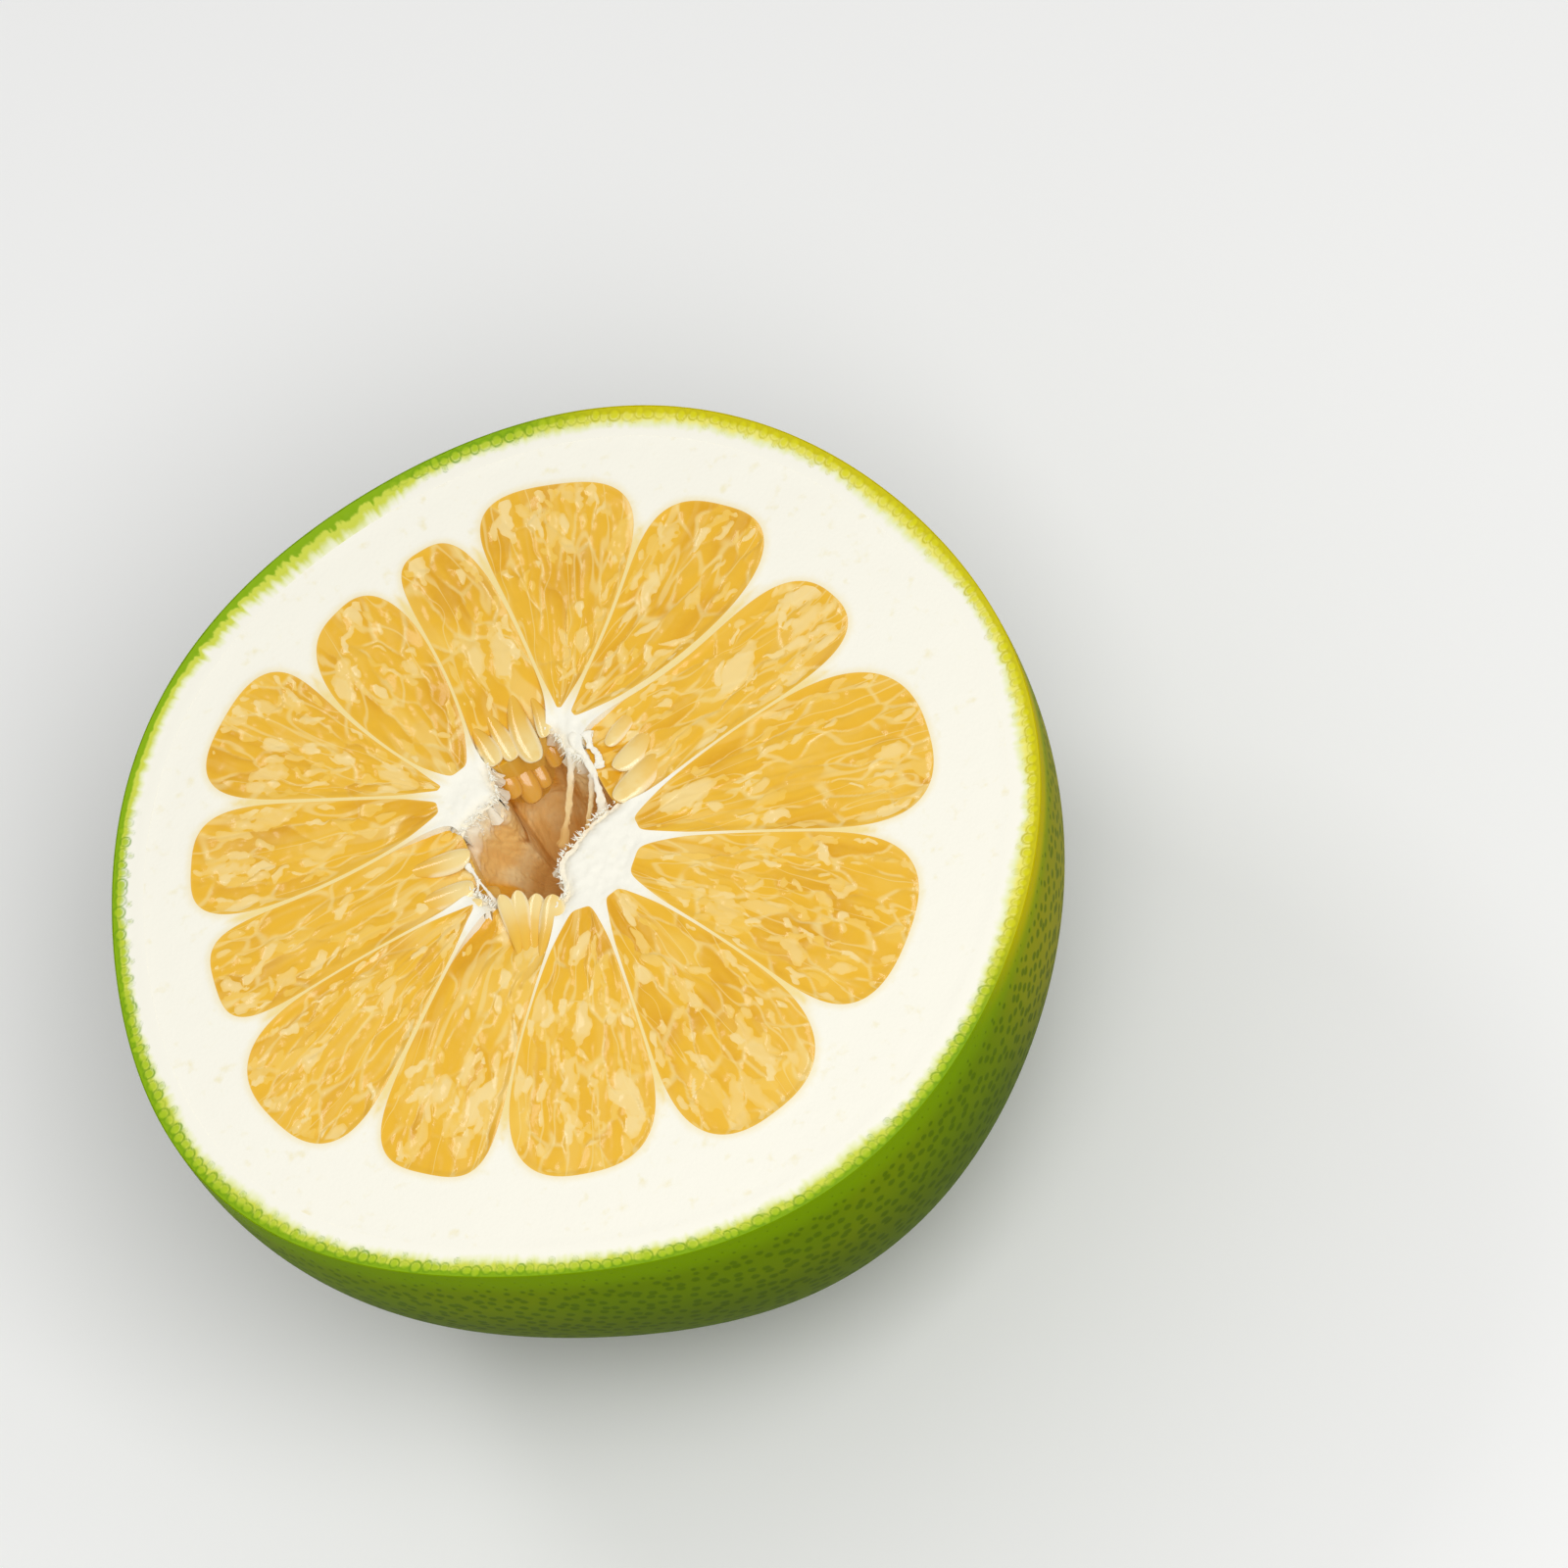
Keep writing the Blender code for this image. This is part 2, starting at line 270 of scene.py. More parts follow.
@contextmanager
def editing(obj: Object, border: bool = False) -> Iterator[None]:
    """Holds an object in edit mode for the operators of a block.

    Args:
        obj: The object.
        border: Whether its open borders alone are selected, and not all of it.

    Yields:
        Nothing.
    """
    choose(obj)
    bpy.ops.object.mode_set(mode="EDIT")
    bpy.ops.mesh.select_mode(type="EDGE")
    bpy.ops.mesh.select_all(action="DESELECT" if border else "SELECT")
    if border:
        bpy.ops.mesh.select_non_manifold()
    yield
    bpy.ops.object.mode_set(mode="OBJECT")


def add_grid(across: int, ahead: int) -> tuple[Object, Array, Array]:
    """Adds the grid that a piece is shaped from.

    Args:
        across: How many faces wide it is.
        ahead: How many faces long it is.

    Returns:
        The grid, and the places of its vertices across and ahead, from -1 to 1.
    """
    deselect()
    bpy.ops.mesh.primitive_grid_add(x_subdivisions=across, y_subdivisions=ahead, size=2)
    flat = points_of(bpy.context.object)
    return bpy.context.object, flat[:, 0], flat[:, 1]


def full_turn(across: Array) -> Array:
    """The angle of each vertex of a grid that is rolled into a ring, the same on both sides of its seam."""
    angle = (across + 1) * math.pi
    return np.where(angle > math.tau - 1e-6, 0.0, angle)


def merge(obj: Object, distance: float) -> None:
    """Merges the vertices of a mesh that are no farther apart than a distance."""
    with editing(obj):
        bpy.ops.mesh.remove_doubles(threshold=distance)


def point_faces(obj: Object, inwards: bool = False) -> None:
    """Points all the faces of a mesh outwards, or inwards."""
    with editing(obj):
        bpy.ops.mesh.normals_make_consistent(inside=inwards)


def extrude_border(obj: Object) -> Array:
    """Extrudes the open border of a mesh.

    Args:
        obj: The object.

    Returns:
        The numbers of the new vertices, which still lie on the old ones.
    """
    before = len(obj.data.vertices)
    with editing(obj, border=True):
        bpy.ops.mesh.extrude_region_move()
    return np.arange(before, len(obj.data.vertices))


def close_border(obj: Object, bridge: bool = False) -> None:
    """Closes a mesh and points its faces outwards.

    Args:
        obj: The object, with one open border, or two.
        bridge: Whether its two borders are bridged, where its one border would get a face.
    """
    with editing(obj, border=True):
        if bridge:
            bpy.ops.mesh.bridge_edge_loops()
        else:
            bpy.ops.mesh.edge_face_add()
    point_faces(obj)


def thicken(obj: Object, thickness: float) -> None:
    """Gives a sheet its thickness.

    Args:
        obj: The sheet.
        thickness: How far the new side lies behind its faces.
    """
    sheet = obj.modifiers.new("thickness", "SOLIDIFY")
    sheet.thickness, sheet.offset = thickness, -1
    choose(obj)
    bpy.ops.object.modifier_apply(modifier=sheet.name)


def join(made: list[Object]) -> Object:
    """Joins objects.

    Args:
        made: The objects.

    Returns:
        The one that they become.
    """
    choose(*made)
    bpy.ops.object.join()
    return bpy.context.object


def finish_piece(obj: Object, name: str, nodes: list[str], material: Material) -> Object:
    """Names a piece, gives it its finish and sets it in the frame.

    Args:
        obj: The finished piece.
        name: Its name.
        nodes: The CAD nodes that it stands for.
        material: Its material.

    Returns:
        The piece.
    """
    obj.name = obj.data.name = name
    obj.data.materials.clear()
    obj.data.materials.append(material)
    choose(obj)
    bpy.ops.object.shade_smooth()
    obj.data.set_sharp_from_angle(angle=SHARP_ANGLE)
    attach(obj, BODY)
    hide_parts(*nodes)
    log.info("%s: %d vertices", name, len(obj.data.vertices))
    return obj


def inside(points: Array, loop: Array) -> Array:
    """Finds which plan points lie in a closed outline.

    Args:
        points: The points, a row each.
        loop: The outline's points in order.

    Returns:
        Whether each point lies in it.
    """
    found = np.zeros(len(points), bool)
    for (x0, y0), (x1, y1) in zip(loop, np.roll(loop, -1, axis=0)):
        crosses = (y0 > points[:, 1]) != (y1 > points[:, 1])
        if crosses.any():
            slope = (x1 - x0) / (y1 - y0)
            found ^= crosses & (points[:, 0] < x0 + (points[:, 1] - y0) * slope)
    return found


def gaps(loop: Array, plan: Array) -> Array:
    """Measures how far plan points lie from the nearest point of an outline.

    Args:
        loop: The outline's points.
        plan: The plan points.

    Returns:
        The distances.
    """
    tree = kdtree.KDTree(len(loop))
    for number, (x, y) in enumerate(loop):
        tree.insert((x, y, 0), number)
    tree.balance()
    return np.array([tree.find((x, y, 0))[2] for x, y in plan])


# The fruit's form


@dataclass(frozen=True)
class Membrane:
    """The wall between two segments: its end at the core, its angle at the rind and its sideways bow."""

    core: tuple[float, float]
    angle: float
    bow: float


MEMBRANES = (
    Membrane((0.0095, 0.0000), 2.0, 0.0018),
    Membrane((0.0100, 0.0185), 27.0, -0.0035),
    Membrane((0.0095, 0.0210), 51.0, -0.0015),
    Membrane((0.0080, 0.0220), 79.3, -0.0008),
    Membrane((-0.0060, 0.0215), 93.2, -0.0020),
    Membrane((-0.0110, 0.0210), 110.5, 0.0020),
    Membrane((-0.0130, 0.0200), 137.3, 0.0000),
    Membrane((-0.0140, 0.0165), 157.5, 0.0022),
    Membrane((-0.0165, 0.0015), 177.3, -0.0010),
    Membrane((-0.0170, -0.0005), 206.8, -0.0004),
    Membrane((-0.0060, -0.0085), 229.6, -0.0016),
    Membrane((-0.0010, -0.0100), 259.4, 0.0003),
    Membrane((0.0035, -0.0095), 290.4, 0.0014),
    Membrane((0.0090, -0.0045), 326.6, 0.0006),
)
LOBE_RADII = (
    0.0540, 0.0585, 0.0612, 0.0580, 0.0577, 0.0615, 0.0592,
    0.0572, 0.0602, 0.0558, 0.0545, 0.0575, 0.0560, 0.0558,
)
# How far each lobe leans, as the radius that its counter-clockwise side gains, and how square it is.
LOBE_LEANS = (
    0.0000, 0.0000, 0.0008, -0.0003, -0.0005, 0.0003, -0.0005,
    0.0000, 0.0000, -0.0008, -0.0004, -0.0004, -0.0009, -0.0008,
)
LOBE_POWERS = (2.6, 3.2, 3.6, 3.2, 3.1, 3.3, 3.7, 3.9, 3.0, 3.7, 3.0, 2.8, 3.3, 2.9)
# How far each segment's pulp is torn out over the hollow, past where its membranes end.
INNER_REACH = (
    0.0020, 0.0004, 0.0004, 0.0030, 0.0004, 0.0004, 0.0004,
    0.0022, 0.0004, 0.0024, 0.0004, 0.0004, 0.0004, 0.0004,
)
HOLLOW_OUTLINE = (
    (-0.0132, 0.0120), (-0.0095, 0.0142), (-0.0055, 0.0150), (-0.0042, 0.0200),
    (0.0005, 0.0222), (0.0058, 0.0200), (0.0068, 0.0140), (0.0104, 0.0100),
    (0.0098, 0.0038), (0.0030, 0.0023), (-0.0030, -0.0005), (-0.0048, -0.0058),
    (-0.0095, -0.0064), (-0.0140, -0.0030), (-0.0152, 0.0010), (-0.0168, 0.0060),
)


@dataclass(frozen=True)
class Fruit:
    """The form that all the pieces share, as the CAD part has it, with angles in degrees."""

    height: float = 0.0755
    face_radius: float = 0.0729
    pole_depth: float = 0.0769
    body_power: float = 2.1
    out_of_round: tuple = (
        (1, 0.0046, -122.1), (2, 0.0023, 161.4), (3, 0.0109, 176.3), (4, 0.0076, 74.5), (5, 0.0107, -89.5),
    )
    half_membrane: float = 0.0007
    tip_margin: float = 0.0012
    inner_power: float = 5.5
    depth_share: float = 0.94
    lowest_share: float = 0.14
    hollow_middle: tuple[float, float] = (-0.0030, 0.0075)
    hollow_depth: float = 0.0220

    def swell(self, angle: Array) -> Array:
        """How far the fruit is out of round at each angle about its axis, in radians."""
        waves = (amount * np.cos(turns * angle - math.radians(at)) for turns, amount, at in self.out_of_round)
        return sum(waves, np.ones_like(angle))

    def around(self, radius: Array | float, angle: Array, height: Array | float) -> Array:
        """Places points about the axis, out of round as the fruit is.

        Args:
            radius: Their radius on a round fruit.
            angle: Their angle in radians.
            height: Their height.

        Returns:
            The points, a row each.
        """
        reach = radius * self.swell(angle)
        return np.c_[reach * np.cos(angle), reach * np.sin(angle), np.broadcast_to(height, angle.shape)]

    def meridian(self, inset: float, share: Array) -> tuple[Array, Array]:
        """Reads the body's side profile by the length along it.

        Args:
            inset: How far inside the surface the profile runs.
            share: The share of its length, 0 at the axis and 1 at the cut.

        Returns:
            The radius and the height at each share.
        """
        radius, depth = self.face_radius - inset, self.pole_depth - inset
        last = math.asin(((self.height - inset) / depth) ** (self.body_power / 2))
        turn = np.linspace(last, 0, 400)
        radii = np.concatenate([[0.0], radius * np.cos(turn) ** (2 / self.body_power)])
        heights = np.concatenate([[inset], self.height - depth * np.sin(turn) ** (2 / self.body_power)])
        length = np.concatenate([[0.0], np.cumsum(np.hypot(np.diff(radii), np.diff(heights)))])
        return np.interp(share * length[-1], length, radii), np.interp(share * length[-1], length, heights)

    def beside(self, number: int, along: Array, lobe: float, offset: Array) -> Array:
        """Places plan points beside a membrane.

        Args:
            number: The membrane's number.
            along: The shares of the way from the core to the lobe's radius.
            lobe: That radius.
            offset: How far to the membrane's left they are.

        Returns:
            The points.
        """
        membrane = MEMBRANES[number % len(MEMBRANES)]
        core = np.array(membrane.core)
        angle = math.radians(membrane.angle)
        run = lobe * np.array((math.cos(angle), math.sin(angle))) - core
        sideways = np.array((-run[1], run[0])) / np.hypot(*run)
        shift = membrane.bow * 4 * along * (1 - along) + offset
        return core + along[:, None] * run + shift[:, None] * sideways

    def segment_plan(self, index: int, along: Array, across: Array, out: float, growth: float) -> Array:
        """Maps a segment's own coordinates to the plan.

        Args:
            index: The segment's number, from 0.
            along: 0 at the segment's tip to 1 at its lobe.
            across: -1 to 1, from its clockwise side to the other.
            out: The share of its length that it reaches at this depth.
            growth: How far it is grown sideways past its CAD solid.

        Returns:
            The plan points, a row each.
        """
        lobe = LOBE_RADII[index]
        run = lobe - math.hypot(*MEMBRANES[index].core)
        wall = self.half_membrane - growth * (0.35 + 0.65 * smooth_step(along, 0.0, 0.18))
        margin = (self.tip_margin - growth / 2 - INNER_REACH[index]) / run
        place = margin + (out + growth / run - margin) * along
        right = self.beside(index, place, lobe, wall)
        left = self.beside(index + 1, place, lobe, -wall)
        share = (1 + across) / 2
        straight = right * (1 - share)[:, None] + left * share[:, None]
        round_radius = np.hypot(*right.T) * (1 - share) + np.hypot(*left.T) * share
        round_radius += LOBE_LEANS[index] * across
        stretch = 1 + place * (round_radius / np.hypot(*straight.T) - 1)
        return straight * stretch[:, None]

    def squircle(self, flat: Array, index: int) -> tuple[Array, Array]:
        """Rounds the corners of a square, -1 to 1 each way, into a segment's outline.

        Args:
            flat: Points of the square, a row each, across and then ahead.
            index: The segment's number, from 0.

        Returns:
            The same points as along, 0 to 1, and across, -1 to 1.
        """
        power = np.where(flat[:, 1] > 0, LOBE_POWERS[index], self.inner_power)
        reach = np.abs(flat).max(axis=1)
        norm = (np.abs(flat[:, 0]) ** power + np.abs(flat[:, 1]) ** power) ** (1 / power)
        scale = reach / np.maximum(norm, 1e-9)
        return (1 + flat[:, 1] * scale) / 2, flat[:, 0] * scale

    def segment_loop(self, index: int, growth: float, count: int) -> Array:
        """Traces a segment's outline on the cut face, counter-clockwise.

        Args:
            index: The segment's number, from 0.
            growth: How far it is grown sideways past its CAD solid.
            count: How many points it has.

        Returns:
            The plan points.
        """
        side = np.linspace(-1, 1, count // 4, endpoint=False)
        ones = np.ones_like(side)
        sides = [np.c_[side, -ones], np.c_[ones, side], np.c_[-side, ones], np.c_[-ones, -side]]
        return self.segment_plan(index, *self.squircle(np.concatenate(sides), index), 1.0, growth)

    def hollow_loop(self, turn: Array) -> Array:
        """Traces the outline of the torn core, a closed Catmull-Rom curve.

        Args:
            turn: Shares of the way round, 0 to 1.

        Returns:
            The plan points, a row each.
        """
        corners = np.array(HOLLOW_OUTLINE)
        place = (turn % 1) * len(corners)
        first = np.floor(place).astype(int)
        t = (place - first)[:, None]
        a, b, c, d = (corners[(first + step) % len(corners)] for step in (-1, 0, 1, 2))
        bends = (2 * a - 5 * b + 4 * c - d) * t**2 + (3 * b - a - 3 * c + d) * t**3
        return (2 * b + (c - a) * t + bends) / 2


FRUIT = Fruit()


# Finishes. Each docstring says what the real surface gives the eye.


@dataclass(frozen=True)
class RindFinish:
    """Waxy pomelo skin: saturated green with darker round oil glands, yellower on its sunny side."""

    net: str = "#667F00"
    lit_net: str = "#748600"
    gland: str = "#4B6500"
    # low and painted_shade_gland are painted shade: darker greens for the skin far below the cut.
    low: str = "#4C5F00"
    painted_shade_gland: str = "#384A00"
    warm: str = "#9C9612"
    rim: str = "#789C00"
    warm_rim: str = "#C4B200"
    # The glands are 2.1 mm apart near the cut, which cells 2.35 mm wide on the spread skin give.
    cell: float = 2.35

    def build(self) -> Material:
        """Makes the material.

        Returns:
            The material, which reads "skin_x" and "skin_y" (mm on the spread skin), "rim" (1 beside the
            cut), "low" (1 far below it, where painted shade darkens the skin), "warm" (1 on the sunny side)
            and "warm_rim" (both).
        """
        material, tree, place, x, y, rim, low, warm, warm_rim = new_material(
            "waxy green pomelo rind", "skin_x skin_y rim low warm warm_rim"
        )
        spot = add_node(tree, "CombineXYZ", {0: x, 1: y})
        cells = {"Vector": spot, "Scale": 1 / self.cell, "Randomness": 0.72}
        cell = add_node(tree, "TexVoronoi", cells, "Distance", voronoi_dimensions="2D")
        wobble = add_node(tree, "TexNoise", {"Vector": place, "Scale": 900.0, "Detail": 2.0})
        cell = add_node(tree, "Math", {0: wobble, 1: 0.22, 2: cell}, operation="MULTIPLY_ADD")
        patches = add_node(tree, "TexNoise", {"Vector": place, "Scale": 30.0, "Detail": 3.0})
        plain = add_node(tree, "Math", {0: rim, 1: 0.3, 2: cell}, operation="MULTIPLY_ADD")
        # The layers by low darken the net and the glands far below the cut, as painted shade.
        colour = lay_colours(
            tree, self.net, (patches, 1.0, self.lit_net, 0.45, 0.72), (low, 0.8, self.low),
            (warm, 0.75, self.warm), (rim, 0.65, self.rim),
            (plain, 0.7, lay_colours(tree, self.gland, (low, 0.8, self.painted_shade_gland)), 0.50, 0.34),
            (warm_rim, 0.85, self.warm_rim),
        )
        pits = add_node(tree, "Math", {0: cell, 1: 0.55}, operation="MINIMUM")
        finish_shader(tree, colour, (pits, 0.00022, 0.5), Roughness=0.5, IOR=1.22, Specular_IOR_Level=0.04)
        return material


@dataclass(frozen=True)
class CutRindFinish:
    """Cut edge of the rind: a wet line of skin, then round oil glands in flesh that fades to white pith."""

    # Each pair is the colour on the green side and on the sunny one.
    line: tuple[str, str] = ("#88B004", "#CFC400")
    flesh: tuple[str, str] = ("#D2DA4C", "#F0E972")
    outline: tuple[str, str] = ("#749E00", "#C4BC08")
    gland: tuple[str, str] = ("#AAC61C", "#D9D40E")
    fade: str = "#EEF1BC"
    white: str = "#FBF8EA"

    def build(self) -> Material:
        """Makes the material.

        Returns:
            The material, which reads "depth" (mm in from the rim, as the colours have it), "gland",
            "outline" (1 round a gland) and "warm" (1 where it is yellow).
        """
        material, tree, place, depth, gland, outline, warm = new_material(
            "cut pomelo rind", "depth gland outline warm"
        )
        mottle = add_node(tree, "TexNoise", {"Vector": place, "Scale": 900.0, "Detail": 3.0})
        depth = add_node(tree, "Math", {0: mottle, 1: 1.0, 2: depth}, operation="MULTIPLY_ADD")
        pairs = (self.line, self.flesh, self.outline, self.gland)
        line, flesh, ring, body = (lay_colours(tree, green, (warm, 1.0, yellow)) for green, yellow in pairs)
        colour = lay_colours(
            tree, line, (depth, 1.0, flesh, 0.95, 1.5), (depth, 1.0, self.fade, 2.0, 3.3),
            (depth, 1.0, self.white, 2.9, 4.3), (outline, 0.9, ring), (gland, 0.9, body),
        )
        finish_shader(tree, colour, (mottle, 0.00012, 0.3), Roughness=0.5, IOR=1.38, Specular_IOR_Level=0.3)
        return material


@dataclass(frozen=True)
class PithFinish:
    """Spongy citrus pith: dry and matt, white, a little yellow beside the pulp and tan deep in the core."""

    white: str = "#FBF8EA"
    fleck: str = "#F5EDCB"
    cream: str = "#F7EAC0"
    strip: str = "#F6DF98"
    tan: str = "#EDC074"
    pale_tan: str = "#F6DCA4"
    orange: str = "#F2B236"
    # brown is painted shade for the slits and the bottom of the hollow.
    painted_shade_brown: str = "#B9782C"

    def build(self) -> Material:
        """Makes the material.

        Returns:
            The material, which reads "near" (1 beside the pulp), "strip" (1 between two segments), "deep"
            (1 in the core's depth), "pulpy" (1 where the wall is pulp) and "dark" (1 where brown painted
            shade goes, in slits and low in the hollow).
        """
        material, tree, place, near, strip, deep, pulpy, dark = new_material(
            "spongy white pith", "near strip deep pulpy dark"
        )
        flecks, soft, sponge = (
            add_node(tree, "TexNoise", {"Vector": place, "Scale": scale, "Detail": 4.0})
            for scale in (420.0, 110.0, 1500.0)
        )
        tone = lay_colours(tree, self.tan, (soft, 1.0, self.pale_tan, 0.38, 0.62))
        colour = lay_colours(
            tree, self.white, (flecks, 1.0, self.fleck, 0.58, 0.85), (near, 0.8, self.cream),
            (strip, 1.0, self.strip), (deep, 1.0, tone), (pulpy, 1.0, self.orange), (dark, 1.0, self.painted_shade_brown),
        )
        finish_shader(tree, colour, (sponge, 0.00025, 0.25), Roughness=0.85, IOR=1.4, Specular_IOR_Level=0.2)
        return material


@dataclass(frozen=True)
class PulpFinish:
    """Wet cut citrus pulp: glowing gold, with the sacs' thin skins and flat pale highlights of juice painted
    on.
    """

    dark_gold: str = "#E1A414"
    gold: str = "#EFB92C"
    light: str = "#F4C64E"
    # glint is the colour of painted highlights, pale patches that stand for light reflected by wet juice.
    glint: str = "#F9DE98"
    skin: str = "#F7DC8E"
    rim: str = "#F3C657"

    def build(self) -> Material:
        """Makes the material.

        Returns:
            The material, which reads "tone" (0 dark to 1 light, partly painted light and shade), "glint"
            (above 0 in a painted highlight), "gleam" (how pale that highlight is), "strand" (0 along a
            fibre), "veil",
            "wall" (1 on a sac's skin) and "rim".
        """
        material, tree, place, tone, glint, gleam, strand, veil, wall, rim = new_material(
            "wet golden pomelo pulp", "tone glint gleam strand veil wall rim"
        )
        mottle = add_node(tree, "TexNoise", {"Vector": place, "Scale": 1100.0, "Detail": 3.0})
        line = add_node(tree, "Math", {0: strand}, operation="ABSOLUTE")
        # edge is the painted highlights' field, made ragged; above 0 the pulp takes their pale colour.
        edge = add_node(tree, "Math", {0: mottle, 1: 0.10, 2: glint}, operation="MULTIPLY_ADD")
        colour = lay_colours(
            tree, self.dark_gold, (tone, 1.0, self.gold, 0.0, 0.5), (tone, 1.0, self.light, 0.5, 1.0),
            (mottle, 0.15, self.light, 0.5, 0.8), (veil, 0.4, self.skin), (line, 0.5, self.skin, 0.10, 0.02),
            (wall, 0.6, self.skin),
            (edge, 0.85, lay_colours(tree, self.light, (gleam, 1.0, self.glint)), 0.035, 0.085),
            (rim, 1.0, self.rim),
        )
        ripple = add_node(tree, "TexNoise", {"Vector": place, "Scale": 900.0, "Detail": 2.0})
        levels = {"Roughness": 0.32, "IOR": 1.36, "Coat_Weight": 0.5, "Coat_Roughness": 0.1, "Coat_IOR": 1.36}
        finish_shader(tree, colour, (ripple, 0.00005, 0.25), **levels)
        return material


@dataclass(frozen=True)
class SacFinish:
    """Whole juice sacs: a thin clear skin full of pale juice, which looks like wet golden glass."""

    root: str = "#EFBC40"
    tip: str = "#F7DC94"
    side: str = "#FDEEC4"
    # amber is painted shade: a darker gold for the sacs that hang deep in the hollow.
    amber: str = "#E0A222"

    def build(self) -> Material:
        """Makes the material.

        Returns:
            The material, which reads "tip" (0 at a sac's root to 1 at its tip), "side" (1 at its edge) and
            "amber" (1 on a sac that hangs deep in the hollow, which it darkens as painted shade).
        """
        material, tree, place, tip, side, amber = new_material("whole wet juice sacs", "tip side amber")
        cloud = add_node(tree, "TexNoise", {"Vector": place, "Scale": 420.0, "Detail": 2.0})
        colour = lay_colours(
            tree, self.root, (tip, 1.0, self.tip, 0.25, 0.85), (cloud, 0.3, self.root, 0.45, 0.7),
            (side, 0.9, self.side, 0.6, 1.0), (amber, 0.85, self.amber),
        )
        levels = {"Roughness": 0.22, "IOR": 1.36, "Coat_Weight": 0.6, "Coat_Roughness": 0.06}
        finish_shader(tree, colour, (cloud, 0.00008, 0.2), **levels)
        return material


# The rind


def sunny_side(degrees: Array) -> Array:
    """How yellow the rind is at each angle about the axis: 1 on the fruit's sunny side."""
    return smooth_step(degrees % 360, 75.0, 50.0) + smooth_step(degrees % 360, 292.0, 325.0)


@dataclass
class Rind:
    """The green skin: an outer dome with its gland pattern, its rim and its inner wall."""

    steps: int = 270
    inner_rings: int = 9
    inner_inset: float = 0.0021
    arc_length: float = 105.0

    def dome(self) -> Object:
        """Makes the outer dome from a square grid wrapped over it.

        Returns:
            The dome, open at the cut.
        """
        obj, a, b = add_grid(self.steps, self.steps)
        wide = np.abs(a) >= np.abs(b)
        reach = np.where(wide, a, b)
        over = np.divide(np.where(wide, b, a), reach, out=np.zeros_like(reach), where=np.abs(reach) > 1e-9)
        angle = np.where(wide, math.pi / 4 * over, math.pi / 2 - math.pi / 4 * over)
        angle = np.where(reach < 0, angle + math.pi, angle)
        away = np.abs(reach)
        share = 1.3 * away - 0.3 * away**2
        radius, height = FRUIT.meridian(0.0, share)
        move_points(obj, FRUIT.around(radius, angle, height))
        # The skin is spread flat about its lowest point, so that its glands stay nearly round up to the cut.
        arc = share * self.arc_length
        spread = 0.62 * arc + 0.0021 * arc**2
        sunny, mm = sunny_side(np.degrees(angle)), height / MM
        # low marks the skin far below the cut, which the material darkens as painted shade.
        keep_values(
            obj, angle=angle, skin_x=spread * np.cos(angle), skin_y=spread * np.sin(angle),
            rim=smooth_step(mm, 66.5, 75.2), warm=sunny * smooth_step(mm, 30.0, 62.0),
            warm_rim=sunny * smooth_step(mm, 70.5, 75.0), low=smooth_step(mm, 73.0, 44.0),
        )
        return obj

    def build(self) -> Object:
        """Builds and dresses the skin: the dome, then ring by ring over its rim and down its inner wall.

        Returns:
            The skin.
        """
        obj = self.dome()
        edge, top = FRUIT.face_radius, FRUIT.height
        # The radius and the height of each ring: three round the rim's edge, then down the inner wall.
        rings = [(edge - 0.00015, top), (edge - 0.00045, top - 0.0007)]
        rings.append((edge - self.inner_inset, top - 0.0013))
        rings += zip(*FRUIT.meridian(self.inner_inset, np.linspace(0.975, 0.06, self.inner_rings)))
        for radius, height in rings:
            new = extrude_border(obj)
            points = points_of(obj)
            points[new] = FRUIT.around(radius, value_of(obj, "angle")[new], height)
            move_points(obj, points)
        close_border(obj)
        return finish_piece(obj, "rind", ["skin"], RindFinish().build())


